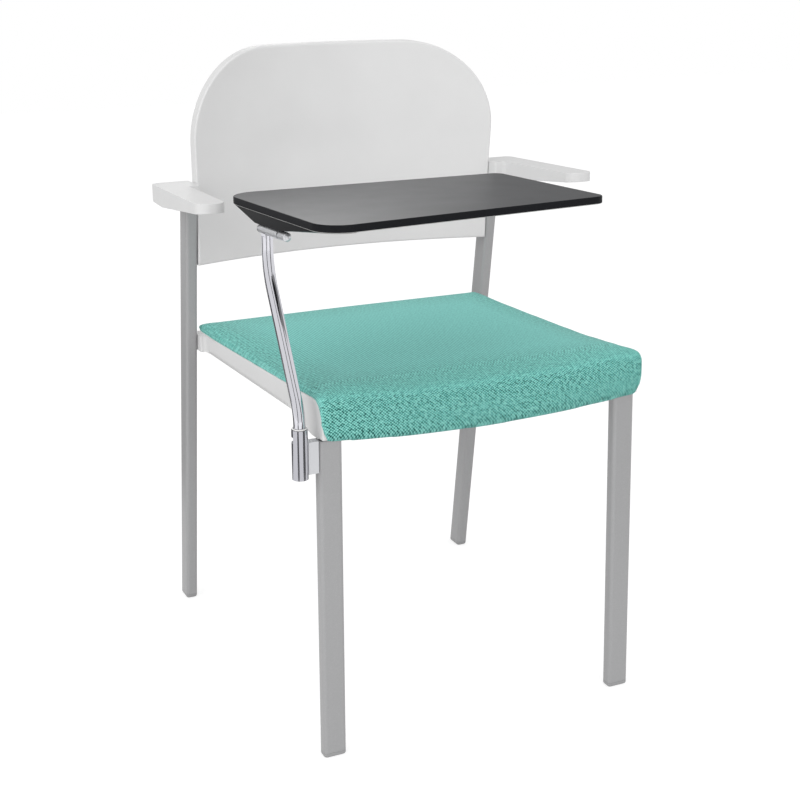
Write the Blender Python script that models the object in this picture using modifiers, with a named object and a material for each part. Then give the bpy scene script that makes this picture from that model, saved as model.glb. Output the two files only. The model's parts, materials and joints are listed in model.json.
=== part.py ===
"""Visitor chair with a writing tablet on a swivelling arm.

Metres, +Z up, floor at z = 0, front towards -Y. Right and left are the sitter's: right is -X.
"""
import math

import bmesh
import bpy
from mathutils import Matrix, Vector

OBJECT_NAME = "tablet_chair"

# Clearances
GAP = 0.0003            # between pieces that touch
SLIDE_GAP = 0.0005      # around a pin that runs in its slot

# Seat
SEAT_WIDTH = 0.424
SEAT_DEPTH = 0.441
SEAT_HEIGHT = 0.456     # top of the pad's front edge
SEAT_SLOPE = math.radians(2.7)
PAD_EDGE = 0.012        # pad thickness along its edges
PAD_CROWN = 0.009
PAD_LIP_DROP = 0.049    # how far the pad wraps down in front
PAD_LIP_SAG = 0.009     # how much further in the middle
PAD_LIP_DRAW = 0.010    # how much each side draws in down the lip
PAD_RIM = 0.0025        # fullness of the pad's top along its edges
PAD_OVERHANG = 0.0035   # beyond the pan's sides
PAD_BEND = 0.018
PAN_WALL = 0.003
PAN_SKIRT = 0.0235
PAN_BEND = 0.022
PAN_CHEEK = 0.0704      # how far back the deep front of the skirts runs
PAN_EAR_REACH = 0.0075  # from the pan's side to the rear leg
PAN_EAR_LENGTH = 0.036

# Seat frame rails
RAIL_WIDTH = 0.017
RAIL_HEIGHT = 0.019
RAIL_WALL = 0.0015
SIDE_RAIL_INSET = 0.040  # from the pan's side to the side rail's middle
FRONT_RAIL_DROP = 0.008  # front rail below the others, to clear the pan's rolled front
TONGUE_THICK = 0.0045    # leg spigot's tongue, between the pan and the front rail

# Legs
TUBE_WIDE = 0.029
TUBE_NARROW = 0.0165
TUBE_WALL = 0.0015
TUBE_CORNER = 0.0045
FRONT_LEG_INSET = 0.0135   # leg's middle from the seat's side, at the top
FRONT_LEG_SETBACK = 0.0142  # leg's middle from the seat's front, at the top
FRONT_SPLAY_OUT = 0.0046
FRONT_SPLAY_FORWARD = 0.0119
REAR_LEG_SETBACK = 0.0065   # leg's middle behind the pan's rear edge, at the rear rail
REAR_RAKE = math.radians(8.0)
GLIDE_HEIGHT = 0.006
SPIGOT_LENGTH = 0.022

# Backrest
BACK_BELOW_ARM = 0.088     # back's bottom edge below the rear leg's top
BACK_HEIGHT = 0.283
BACK_SIDE_GAP = 0.003
BACK_CORNER = 0.118
BACK_SAG_LOW = 0.033       # hollow of the back at its bottom edge
BACK_SAG_HIGH = 0.061
BACK_EDGE_LEAN = 0.055     # forward lean of the side edges, per unit of height
BACK_FLARE = 0.004         # how much further out the sides are at the upper corners
BACK_RIM = 0.020
BACK_BEFORE_LEG = 0.014    # back's side edge in front of the leg's middle
BACK_WALL = 0.0035
BACK_EDGE_ROUND = 0.003
BACK_BOLT_RADIUS = 0.003
BACK_BOLT_HEAD = 0.005
BACK_BOLT_BEHIND = 0.013   # bolts behind the back's side edge
BACK_BOLT_DROP = 0.022     # upper bolt below the rear leg's top
BACK_BOLT_SPACING = 0.042

# Armrests
ARM_LENGTH = 0.225
ARM_REAR_HANG = 0.024      # behind the leg's middle, at its top
ARM_OUTER_REACH = 0.0445   # outer edge from the leg's middle, at the rear
ARM_FLARE = 0.006          # how much further out the front is
ARM_FRONT_WIDTH = 0.037
ARM_BLOCK_LENGTH = 0.053   # the wide rear part, over the leg
ARM_RISE = 0.200           # armrest's rear top above the seat's rear edge
ARM_TOP_RISE = 0.010       # rear to front
ARM_THICK_REAR = 0.023
ARM_THICK_FRONT = 0.012
ARM_EDGE_ROUND = 0.0025
ARM_CORNER = 0.011
ARM_END_ROUND = 0.45       # front corners' radius, share of the front width
ARM_SPIGOT = 0.014

# Swivel sleeve on the front right leg
SLEEVE_RADIUS = 0.0094
SLEEVE_WALL = 0.0012
SLEEVE_LENGTH = 0.060
SLEEVE_RISE = 0.019        # sleeve's top above the leg's top
SLEEVE_FORWARD = 0.006     # sleeve's middle in front of the leg's middle
LUG_LENGTH = 0.0133
LUG_WIDTH = 0.012
LUG_HEIGHT = 0.039
LUG_DROP = 0.017           # lug's top below the sleeve's top
BUSH_FLANGE = 0.0012
PLUG_HEIGHT = 0.006
SLOT_DROP = 0.0120         # slot's middle below the sleeve's top
SLOT_HEIGHT = 0.0068
SLOT_START = math.radians(86.0)   # pin's direction at rest, from +X towards +Y
SWIVEL_TRAVEL = math.radians(90.0)
STOP_PIN_REACH = 0.012    # pin's end from the sleeve's axis

# Arm
ARM_BAR_RADIUS = 0.0068
CRANK_OFFSET = 0.088       # hinge behind the sleeve
CRANK_START = 0.002        # bend's start above the bush
CRANK_BEND_LOW = 0.055
CRANK_BEND_HIGH = 0.090
CRANK_TOP = 0.003          # straight bar between the bend and the hinge head

# Hinge
HINGE_DROP = 0.0007        # hinge axis below the armrest's rear top
HINGE_YAW = math.radians(3.6)
BOARD_SLOPE = math.radians(-1.87)
HEAD_RADIUS = 0.0055
HEAD_REAR = 0.013          # hinge head's ends from the arm's middle
HEAD_FRONT = 0.0365
HINGE_PIN_RADIUS = 0.0028
HINGE_BUSH_WALL = 0.001
HINGE_BUSH_LENGTH = 0.014
HINGE_NUT_RADIUS = 0.0052
HINGE_NUT_LENGTH = 0.018
HINGE_NUT_DOME = 0.0036
PIN_CAP_RADIUS = 0.005
PIN_CAP_LENGTH = 0.003
PIN_CAP_TAPER = 0.0011
LEAF_THICK = 0.0027
LEAF_INNER = 0.052
STOP_LUG_REACH = 0.020
STOP_LUG_LENGTH = 0.030
STOP_LUG_DEPTH = 0.008

# Board and bracket
BOARD_LENGTH = 0.363
BOARD_OUTER = 0.008        # board beyond the hinge axis, on the outer side
BOARD_THICK = 0.009
BOARD_REAR = 0.107         # rear outer corner behind the hinge's middle
BOARD_FRONT = 0.170        # front outer corner before the hinge's middle
BOARD_REAR_TAPER = 0.0375  # how much the rear edge draws in towards the free end
BOARD_FRONT_TAPER = 0.008
BOARD_CORNER = 0.034
BOARD_FREE_CORNER = 0.015
BOARD_EDGE_ROUND = 0.0012
BRACKET_DEPTH = 0.0134
BRACKET_SEAT_REAR = 0.0195  # flat underside of the bracket, rear and front of the hinge's middle
BRACKET_SEAT_FRONT = 0.041
BRACKET_SEAT_OUTER = 0.006  # flat underside beyond the hinge axis
BRACKET_INNER = 0.120       # reach of the bracket's top under the board
BRACKET_INNER_SHARE = 0.6   # share of the board's width at that reach
BRACKET_EDGE_INSET = 0.001

# Screws
SCREW_RADIUS = 0.002
SCREW_HEAD_RADIUS = 0.004
SCREW_CROWN_RADIUS = 0.0032
SCREW_HEAD_HEIGHT = 0.0018
SEAT_SCREW_SHARE = 0.2      # seat screws from a side rail's ends, share of its length

# Facets: steps around a round or along a bend
CORNER_STEPS = 4
ROUND_STEPS = 36
SMALL_STEPS = 20
SCREW_STEPS = 16
NUT_STEPS = 5
PAN_STEPS = 6
BEND_STEPS = 7
BOARD_STEPS = 8
BACK_COLUMNS = 12
BACK_ROWS = 11
BACK_STRAIGHT_ROWS = 4      # rows below the upper corners

# Places that follow from the driving dimensions
SEAT_FRONT_Y = -SEAT_DEPTH / 2
PAN_TOP = -PAD_EDGE - GAP            # in the seat's own frame, like the next six
PAN_FRONT = PAD_EDGE + GAP
PAN_BOTTOM = PAN_TOP - PAN_SKIRT
RAIL_TOP = PAN_TOP - PAN_WALL - GAP
TONGUE_FRONT = PAN_FRONT + PAN_WALL + GAP
FRONT_RAIL_Y = TONGUE_FRONT + TONGUE_THICK + GAP + RAIL_WIDTH / 2
REAR_RAIL_Y = SEAT_DEPTH - RAIL_WIDTH / 2
PAN_HALF = SEAT_WIDTH / 2
REAR_LEG_X = PAN_HALF + PAN_EAR_REACH + TUBE_NARROW / 2
FRONT_LEG_X = PAN_HALF - FRONT_LEG_INSET
FRONT_LEG_Y = SEAT_FRONT_Y + FRONT_LEG_SETBACK
FRONT_LEG_TOP = SEAT_HEIGHT - PAD_LIP_DROP - 2 * GAP - (FRONT_LEG_SETBACK + TUBE_WIDE) * math.tan(SEAT_SLOPE)
SEAT_REAR_HEIGHT = SEAT_HEIGHT - SEAT_DEPTH * math.sin(SEAT_SLOPE)
REAR_RAIL_HEIGHT = SEAT_REAR_HEIGHT + RAIL_TOP - RAIL_HEIGHT / 2
ARM_TOP_REAR = SEAT_REAR_HEIGHT + ARM_RISE
REAR_LEG_TOP = ARM_TOP_REAR - ARM_THICK_REAR - GAP
BACK_BOTTOM = REAR_LEG_TOP - BACK_BELOW_ARM
BACK_BOLT_RISES = (BACK_BELOW_ARM - BACK_BOLT_DROP - BACK_BOLT_SPACING, BACK_BELOW_ARM - BACK_BOLT_DROP)
BACK_HALF = REAR_LEG_X - TUBE_NARROW / 2 - BACK_SIDE_GAP
SLEEVE_X = -(FRONT_LEG_X + TUBE_WIDE / 2 + LUG_LENGTH + SLEEVE_RADIUS)
SLEEVE_Y = FRONT_LEG_Y - SLEEVE_FORWARD
SLEEVE_TOP = FRONT_LEG_TOP + SLEEVE_RISE
SLEEVE_BORE = SLEEVE_RADIUS - SLEEVE_WALL
BUSH_OUTER = SLEEVE_BORE - GAP
SLOT_Z = SLEEVE_TOP - SLOT_DROP
STOP_PIN_RADIUS = SLOT_HEIGHT / 2 - SLIDE_GAP
HINGE_HEIGHT = ARM_TOP_REAR - HINGE_DROP
LEAF_BASE = HEAD_RADIUS + GAP         # in the hinge's own frame, like the next three
BOARD_BASE = LEAF_BASE + BRACKET_DEPTH + GAP
EAR_FRONT = -HEAD_FRONT - GAP - LEAF_THICK
EAR_REAR = HEAD_REAR + GAP + LEAF_THICK


def rear_leg_y(height):
    """Middle of the raked rear leg at a height above the floor."""
    at_rail = SEAT_FRONT_Y + SEAT_DEPTH * math.cos(SEAT_SLOPE) + REAR_LEG_SETBACK
    return at_rail + (REAR_RAIL_HEIGHT - height) * math.tan(REAR_RAKE)


# Scene, collections and finishes
for item in list(bpy.data.objects):
    bpy.data.objects.remove(item, do_unlink=True)

PARTS = bpy.data.collections.new(OBJECT_NAME)
CUTTERS = bpy.data.collections.new(OBJECT_NAME + "_cutters")
bpy.context.scene.collection.children.link(PARTS)
bpy.context.scene.collection.children.link(CUTTERS)


def finish(name, colour, roughness, metallic=0.0):
    """Plain Principled material."""
    material = bpy.data.materials.new(name)
    material.use_nodes = True
    shader = material.node_tree.nodes["Principled BSDF"]
    shader.inputs["Base Color"].default_value = (*colour, 1.0)
    shader.inputs["Roughness"].default_value = roughness
    shader.inputs["Metallic"].default_value = metallic
    return material


GREY_PAINT = finish("grey_paint", (0.36, 0.36, 0.37), 0.35, 0.3)
WHITE_PLASTIC = finish("white_plastic", (0.72, 0.72, 0.72), 0.45)
GREY_PLASTIC = finish("grey_plastic", (0.25, 0.25, 0.26), 0.5)
TEAL_FABRIC = finish("teal_fabric", (0.14, 0.42, 0.38), 0.9)
CHROME = finish("chrome", (0.80, 0.80, 0.80), 0.08, 1.0)
STEEL = finish("zinc_steel", (0.55, 0.55, 0.56), 0.35, 1.0)
NYLON = finish("white_nylon", (0.80, 0.80, 0.78), 0.4)
BLACK_PLASTIC = finish("black_plastic", (0.02, 0.02, 0.022), 0.4)
DARK_BOARD = finish("dark_board", (0.05, 0.05, 0.055), 0.3)


# Shape helpers
def empty(name, parent=None, location=(0, 0, 0), rotation=(0, 0, 0)):
    """Axis or frame that pieces are parented to."""
    item = bpy.data.objects.new(name, None)
    PARTS.objects.link(item)
    item.parent = parent
    item.location = location
    item.rotation_euler = rotation
    return item


def piece(name, mesh, material, parent=None, location=(0, 0, 0), rotation=(0, 0, 0)):
    """Named sub-part from a mesh."""
    mesh.name = name
    mesh.materials.clear()
    mesh.materials.append(material)
    item = bpy.data.objects.new(name, mesh)
    PARTS.objects.link(item)
    item.parent = parent
    item.location = location
    item.rotation_euler = rotation
    return item


def cutter(mesh, parent=None, location=(0, 0, 0), rotation=(0, 0, 0)):
    """Tool body for a Boolean."""
    item = bpy.data.objects.new("cutter", mesh)
    CUTTERS.objects.link(item)
    item.parent = parent
    item.location = location
    item.rotation_euler = rotation
    item.hide_render = True
    item.display_type = "WIRE"
    return item


def combine(item, tool, operation="DIFFERENCE"):
    """Boolean of a piece with a tool body."""
    modifier = item.modifiers.new(operation.lower(), "BOOLEAN")
    modifier.operation = operation
    modifier.solver = "EXACT"
    modifier.object = tool


def round_edges(item, width, angle=math.radians(50), segments=2):
    """Bevel on the sharp edges."""
    modifier = item.modifiers.new("edges", "BEVEL")
    modifier.width = width
    modifier.segments = segments
    modifier.limit_method = "ANGLE"
    modifier.angle_limit = angle
    modifier.use_clamp_overlap = True


def finished(bm):
    """Mesh from a bmesh, welded, facing out."""
    bmesh.ops.remove_doubles(bm, verts=bm.verts, dist=1e-6)
    bmesh.ops.recalc_face_normals(bm, faces=bm.faces)
    mesh = bpy.data.meshes.new("shape")
    bm.to_mesh(mesh)
    bm.free()
    return mesh


def smooth(item, angle=math.radians(35)):
    """Shade a round piece smooth."""
    item.data.shade_smooth()
    item.data.set_sharp_from_angle(angle=angle)
    return item


def curve_mesh(curve):
    """Closed mesh of a curve, caps welded."""
    holder = bpy.data.objects.new("holder", curve)
    CUTTERS.objects.link(holder)
    graph = bpy.context.evaluated_depsgraph_get()
    raw = bpy.data.meshes.new_from_object(holder.evaluated_get(graph))
    bpy.data.objects.remove(holder, do_unlink=True)
    bm = bmesh.new()
    bm.from_mesh(raw)
    return finished(bm)


def slab(outlines, thickness):
    """Slab on z = 0 from flat outlines: the first is its edge, the others are holes."""
    curve = bpy.data.curves.new("outline", "CURVE")
    curve.dimensions = "2D"
    curve.fill_mode = "BOTH"
    curve.extrude = thickness / 2
    for outline in outlines:
        spline = curve.splines.new("POLY")
        spline.points.add(len(outline) - 1)
        for point, (x, y) in zip(spline.points, outline):
            point.co = (x, y, 0, 1)
        spline.use_cyclic_u = True
    mesh = curve_mesh(curve)
    mesh.transform(Matrix.Translation((0, 0, thickness / 2)))
    return mesh


def bar(points, radius, steps=ROUND_STEPS // 4):
    """Round bar along points."""
    curve = bpy.data.curves.new("path", "CURVE")
    curve.dimensions = "3D"
    curve.bevel_depth = radius
    curve.bevel_resolution = steps // 2
    curve.use_fill_caps = True
    spline = curve.splines.new("POLY")
    spline.points.add(len(points) - 1)
    for point, place in zip(spline.points, points):
        point.co = (*place, 1)
    return curve_mesh(curve)


def block(low, high):
    """Box between two corners."""
    bm = bmesh.new()
    low, high = Vector(low), Vector(high)
    size = Matrix.Diagonal((*(high - low), 1))
    bmesh.ops.create_cube(bm, size=1, matrix=Matrix.Translation((low + high) / 2) @ size)
    return finished(bm)


def cylinder(radius, low, high, steps=SMALL_STEPS):
    """Round solid along z."""
    bm = bmesh.new()
    middle = Matrix.Translation((0, 0, (low + high) / 2))
    bmesh.ops.create_cone(bm, cap_ends=True, segments=steps, radius1=radius, radius2=radius,
                          depth=high - low, matrix=middle)
    return finished(bm)


def turned(name, profile, material, steps=SMALL_STEPS, ring=False, **place):
    """Piece turned about z from (radius, z) points that run down the outer side."""
    mesh = bpy.data.meshes.new(name)
    count = len(profile)
    edges = [(i, i + 1) for i in range(count - 1)]
    if ring:
        edges.append((count - 1, 0))
    mesh.from_pydata([(radius, 0, z) for radius, z in profile], edges, [])
    item = piece(name, mesh, material, **place)
    screw = item.modifiers.new("turn", "SCREW")
    screw.axis = "Z"
    screw.angle = 2 * math.pi
    screw.steps = steps
    screw.render_steps = steps
    screw.use_merge_vertices = True
    screw.merge_threshold = 1e-6
    screw.use_smooth_shade = True
    return item


def arc(centre, radius, start, end, steps):
    """Points of a flat arc."""
    turn = (end - start) / steps
    angles = [start + turn * i for i in range(steps + 1)]
    return [(centre[0] + radius * math.cos(a), centre[1] + radius * math.sin(a)) for a in angles]


def rounded(corners, steps=CORNER_STEPS):
    """Closed outline through (x, y, radius) corners with true arcs."""
    outline = []
    count = len(corners)
    for i, (x, y, radius) in enumerate(corners):
        here = Vector((x, y))
        to_last = (Vector(corners[i - 1][:2]) - here).normalized()
        to_next = (Vector(corners[(i + 1) % count][:2]) - here).normalized()
        if radius == 0:
            outline.append((x, y))
            continue
        half = to_last.angle(to_next) / 2
        centre = here + (to_last + to_next).normalized() * radius / math.sin(half)
        first = here + to_last * radius / math.tan(half) - centre
        last = here + to_next * radius / math.tan(half) - centre
        start = math.atan2(first.y, first.x)
        sweep = math.atan2(first.x * last.y - first.y * last.x, first.dot(last))
        outline += arc(centre, radius, start, start + sweep, steps)
    return outline


def tube_outline(width, depth, shrink=0.0):
    """Rounded rectangle of a leg tube, drawn in by shrink."""
    x, y = width / 2 - shrink, depth / 2 - shrink
    corner = max(TUBE_CORNER - shrink, TUBE_WALL / 2)
    return rounded([(x, -y, corner), (x, y, corner), (-x, y, corner), (-x, -y, corner)])


def along(start, end):
    """Location, rotation and length of a strut whose own x stays level."""
    axis = Vector(end) - Vector(start)
    z = axis.normalized()
    y = z.cross(Vector((1, 0, 0))).normalized()
    x = y.cross(z)
    turn = Matrix((x, y, z)).transposed()
    return {"location": start, "rotation": turn.to_euler()}, axis.length


# Root and the frames of the three bodies
CHAIR = empty("chair_frame")
SEAT = empty("seat_frame", CHAIR, (0, SEAT_FRONT_Y, SEAT_HEIGHT), (-SEAT_SLOPE, 0, 0))
SWIVEL = empty("arm_swivel_axis", CHAIR, (SLEEVE_X, SLEEVE_Y, 0))
HINGE = empty("hinge_axis", SWIVEL, (0, CRANK_OFFSET, HINGE_HEIGHT), (BOARD_SLOPE, 0, HINGE_YAW))
ALONG_HINGE = (math.radians(-90), 0, 0)   # turns a piece's z to the hinge's y


def trim(bm, place, height, keep_above):
    """Cut a placed shape level at a height above the floor; returns the cut edges."""
    into = Matrix.LocRotScale(Vector(place["location"]), place["rotation"], None).inverted()
    everything = bm.verts[:] + bm.edges[:] + bm.faces[:]
    cut = bmesh.ops.bisect_plane(bm, geom=everything, plane_co=into @ Vector((0, 0, height)),
                                 plane_no=into.to_3x3() @ Vector((0, 0, 1)),
                                 clear_inner=keep_above, clear_outer=not keep_above)
    return [part for part in cut["geom_cut"] if isinstance(part, bmesh.types.BMEdge)]


def leg(name, foot, top, width, depth):
    """Hollow leg, cut level at its top, and the glide in its foot."""
    place, length = along(foot, top)
    outer = tube_outline(width, depth)
    inner = tube_outline(width, depth, TUBE_WALL)
    bm = bmesh.new()
    bm.from_mesh(slab([outer, inner], length))
    bmesh.ops.translate(bm, verts=bm.verts, vec=(0, 0, GLIDE_HEIGHT))
    bmesh.ops.bridge_loops(bm, edges=trim(bm, place, top[2], False))
    item = smooth(piece(name + "_leg", finished(bm), GREY_PAINT, CHAIR, **place))

    bm = bmesh.new()
    bm.from_mesh(slab([outer], 2 * GLIDE_HEIGHT - GAP))
    bmesh.ops.translate(bm, verts=bm.verts, vec=(0, 0, -GLIDE_HEIGHT))
    bmesh.ops.contextual_create(bm, geom=trim(bm, place, 0, True))
    glide = piece(name + "_glide", finished(bm), GREY_PLASTIC, CHAIR, **place)
    stem = slab([tube_outline(width, depth, TUBE_WALL + GAP)], SPIGOT_LENGTH)
    stem.transform(Matrix.Translation((0, 0, GLIDE_HEIGHT / 2)))
    combine(glide, cutter(stem, CHAIR, **place), "UNION")
    return item


def front_legs():
    """Upright front legs, each hung on a spigot of the seat frame."""
    for side, word in ((-1, "right"), (1, "left")):
        foot = (side * (FRONT_LEG_X + FRONT_SPLAY_OUT), FRONT_LEG_Y - FRONT_SPLAY_FORWARD, 0)
        top = (side * FRONT_LEG_X, FRONT_LEG_Y, FRONT_LEG_TOP)
        leg("front_" + word, foot, top, TUBE_WIDE, TUBE_NARROW)
        place, length = along(foot, top)
        stem = slab([tube_outline(TUBE_WIDE, TUBE_NARROW, TUBE_WALL + GAP)], SPIGOT_LENGTH)
        stem.transform(Matrix.Translation((0, 0, length - SPIGOT_LENGTH)))
        spigot = piece("front_" + word + "_spigot", stem, STEEL, CHAIR, **place)
        half = TUBE_WIDE / 2 - TUBE_WALL - TUBE_CORNER
        low = (top[0] - half, TONGUE_FRONT, -PAD_LIP_DROP - SPIGOT_LENGTH / 2)
        high = (top[0] + half, TONGUE_FRONT + TONGUE_THICK, PAN_TOP - PAN_BEND)
        combine(spigot, cutter(block(low, high), SEAT), "UNION")


def rear_legs():
    """Raked rear legs that run up into the armrests."""
    legs = {}
    for side, word in ((-1, "right"), (1, "left")):
        foot = (side * REAR_LEG_X, rear_leg_y(0), 0)
        top = (side * REAR_LEG_X, rear_leg_y(REAR_LEG_TOP), REAR_LEG_TOP)
        legs[word] = leg("rear_" + word, foot, top, TUBE_NARROW, TUBE_WIDE)
    return legs


def rail(name, length, **place):
    """Square-cornered rail tube along its own z, open at both ends."""
    x, y = RAIL_WIDTH / 2, RAIL_HEIGHT / 2
    outer = [(x, -y), (x, y), (-x, y), (-x, -y)]
    inner = [(math.copysign(abs(a) - RAIL_WALL, a), math.copysign(abs(b) - RAIL_WALL, b)) for a, b in outer]
    return piece(name, slab([outer, inner], length), STEEL, SEAT, **place)


def seat_rails():
    """Welded frame under the pan: two cross rails and two side rails; returns the screw places."""
    middle = RAIL_TOP - RAIL_HEIGHT / 2
    across = (math.radians(90), 0, math.radians(90))
    front_half = PAN_HALF - PAN_WALL - GAP
    rear_half = REAR_LEG_X - TUBE_NARROW / 2 - GAP
    front_place = (-front_half, FRONT_RAIL_Y, middle - FRONT_RAIL_DROP)
    rail("front_rail", 2 * front_half, location=front_place, rotation=across)
    rail("rear_rail", 2 * rear_half, location=(-rear_half, REAR_RAIL_Y, middle), rotation=across)
    start = FRONT_RAIL_Y + RAIL_WIDTH / 2 + GAP
    end = REAR_RAIL_Y - RAIL_WIDTH / 2 - GAP
    screw_hole = SCREW_RADIUS + GAP
    holes = []
    for side, word in ((-1, "right"), (1, "left")):
        x = side * (PAN_HALF - SIDE_RAIL_INSET)
        place = {"location": (x, end, middle), "rotation": (math.radians(90), 0, 0)}
        item = rail(word + "_side_rail", end - start, **place)
        for share, spot in ((SEAT_SCREW_SHARE, "front"), (1 - SEAT_SCREW_SHARE, "rear")):
            y = start + (end - start) * share
            hole = cylinder(screw_hole, RAIL_TOP - 2 * RAIL_HEIGHT, RAIL_TOP + PAN_WALL - GAP)
            combine(item, cutter(hole, SEAT, (x, y, 0)))
            holes.append((x, y))
            head = RAIL_TOP - RAIL_HEIGHT - GAP
            tip = RAIL_TOP + PAN_WALL - 2 * GAP
            screw("seat_screw_" + spot + "_" + word, tip - head, SEAT, (x, y, head))
    return holes


def screw(name, length, parent, location):
    """Round-headed screw, its head's bearing face at z = 0 and its shank upwards."""
    profile = [(0, length), (SCREW_RADIUS, length), (SCREW_RADIUS, 0), (SCREW_HEAD_RADIUS, 0),
               (SCREW_CROWN_RADIUS, -SCREW_HEAD_HEIGHT), (0, -SCREW_HEAD_HEIGHT)]
    return turned(name, profile, STEEL, SCREW_STEPS, parent=parent, location=location)


def seat_pan(holes):
    """Moulded pan: rolled front, skirts down both sides, an ear against each rear leg."""
    across = (math.radians(90), 0, math.radians(90))
    lip_bottom = -PAD_LIP_DROP + GAP
    middle = (PAN_FRONT + PAN_BEND, PAN_TOP - PAN_BEND)
    bend = arc(middle, PAN_BEND, math.radians(90), math.radians(180), PAN_STEPS)
    side = [(SEAT_DEPTH, PAN_BOTTOM), (SEAT_DEPTH, PAN_TOP)] + bend
    side += [(PAN_FRONT, lip_bottom), (PAN_FRONT + PAN_BEND, lip_bottom)]
    side += [(PAN_FRONT + PAN_CHEEK, PAN_BOTTOM)]
    pan = piece("seat_pan", slab([side], SEAT_WIDTH), WHITE_PLASTIC, SEAT, (-PAN_HALF, 0, 0), across)

    inside = arc(middle, PAN_BEND - PAN_WALL, math.radians(90), math.radians(180), PAN_STEPS)
    below = lip_bottom - PAN_SKIRT
    beyond = SEAT_DEPTH + PAN_SKIRT
    hollow = [(beyond, below), (beyond, PAN_TOP - PAN_WALL)] + inside + [(PAN_FRONT + PAN_WALL, below)]
    inner_half = PAN_HALF - PAN_WALL
    ear_high = PAN_TOP - PAN_WALL
    ear_rear = SEAT_DEPTH + REAR_LEG_SETBACK + TUBE_WIDE / 3
    for side_sign in (-1, 1):
        near, far = PAN_HALF - PAN_WALL / 2, PAN_HALF + PAN_EAR_REACH - GAP
        xs = sorted((side_sign * near, side_sign * far))
        ear = block((xs[0], ear_rear - PAN_EAR_LENGTH, PAN_BOTTOM), (xs[1], ear_rear, ear_high))
        combine(pan, cutter(ear, SEAT), "UNION")
    combine(pan, cutter(slab([hollow], 2 * inner_half), SEAT, (-inner_half, 0, 0), across))
    room = RAIL_WIDTH / 2 + GAP
    passage_low = (-SEAT_WIDTH, REAR_RAIL_Y - room, RAIL_TOP - RAIL_HEIGHT - GAP)
    passage = block(passage_low, (SEAT_WIDTH, REAR_RAIL_Y + room, RAIL_TOP + GAP / 2))
    combine(pan, cutter(passage, SEAT))
    for x, y in holes:
        hole = cylinder(SCREW_RADIUS + GAP, RAIL_TOP - RAIL_HEIGHT, RAIL_TOP + PAN_WALL - GAP)
        combine(pan, cutter(hole, SEAT, (x, y, 0)))


def seat_pad():
    """Padded top with a crown, soft sides and a lip that wraps down the front."""
    under = GAP - PAD_EDGE
    inside = PAD_EDGE - GAP
    section = [  # outer point, share of the crown, inner point, from the rear edge to the lip
        ((SEAT_DEPTH, PAD_RIM), 0, (SEAT_DEPTH, under)),
        ((SEAT_DEPTH - PAD_BEND, PAD_RIM), 0.3, (SEAT_DEPTH - PAD_BEND, under)),
        ((SEAT_DEPTH * 0.7, PAD_RIM), 1, (SEAT_DEPTH * 0.7, under)),
        ((SEAT_DEPTH * 0.35, PAD_RIM), 1, (SEAT_DEPTH * 0.35, under)),
        ((PAD_BEND * 2.5, PAD_RIM), 0.5, (PAD_BEND * 2.5, under)),
        ((PAD_BEND * 0.6, 0), 0, (inside, under)),
        ((0, -PAD_BEND * 0.6), 0, (inside, -PAD_EDGE - PAD_BEND)),
        ((0, -PAD_LIP_DROP), 0, (inside, -PAD_LIP_DROP))]
    half = PAN_HALF + PAD_OVERHANG
    stations = [-half, -half + PAD_EDGE / 2, -half * 0.6, 0, half * 0.6, half - PAD_EDGE / 2, half]
    bm = bmesh.new()
    loops = []
    for x in stations:
        swell = 1 - (x / half) ** 2
        upper = [bm.verts.new((x, y, z + lift * PAD_CROWN * swell)) for (y, z), lift, inner in section]
        lower = [bm.verts.new((x, *inner)) for outer, lift, inner in section]
        for vert in (upper[-1], lower[-1]):
            vert.co.x *= 1 - PAD_LIP_DRAW / half
            vert.co.z -= PAD_LIP_SAG * swell
        loops.append((upper, lower))
    last = len(section) - 1
    for (upper, lower), (next_upper, next_lower) in zip(loops, loops[1:]):
        for i in range(last):
            bm.faces.new((upper[i], upper[i + 1], next_upper[i + 1], next_upper[i]))
            bm.faces.new((lower[i], lower[i + 1], next_lower[i + 1], next_lower[i]))
        for i in (0, last):
            bm.faces.new((upper[i], lower[i], next_lower[i], next_upper[i]))
    for upper, lower in (loops[0], loops[-1]):
        for i in range(last):
            bm.faces.new((upper[i], upper[i + 1], lower[i + 1], lower[i]))
    pad = smooth(piece("seat_pad", finished(bm), TEAL_FABRIC, SEAT))
    soft = pad.modifiers.new("soft", "SUBSURF")
    soft.levels = 2
    soft.render_levels = 2


def back_edge_y(rise):
    """Front of the back's side edge at a rise above its bottom."""
    level = BACK_BOTTOM + sum(BACK_BOLT_RISES) / 2
    return rear_leg_y(level) - BACK_BEFORE_LEG - (rise - (level - BACK_BOTTOM)) * BACK_EDGE_LEAN


def back_spot(across, up, inset, depth):
    """Point of the back's face or outline, drawn in by inset and set back by depth."""
    straight = BACK_STRAIGHT_ROWS / BACK_ROWS
    upright = BACK_HEIGHT - BACK_CORNER
    corner = BACK_CORNER - inset
    if up <= straight:
        rise = inset + (upright - inset) * up / straight
        reach = BACK_HALF - inset + BACK_FLARE * max(0, rise - BACK_BELOW_ARM) / (upright - BACK_BELOW_ARM)
    else:
        turn = (up - straight) / (1 - straight) * math.pi / 2
        rise = BACK_HEIGHT - inset - corner * (1 - math.sin(turn))
        reach = BACK_HALF + BACK_FLARE - inset - corner * (1 - math.cos(turn))
    x = across * reach
    sag = BACK_SAG_LOW + (BACK_SAG_HIGH - BACK_SAG_LOW) * rise / BACK_HEIGHT
    hollow = sag * (1 - (x / BACK_HALF) ** 2)
    return (x, back_edge_y(rise) + hollow + depth, BACK_BOTTOM + rise)


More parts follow.
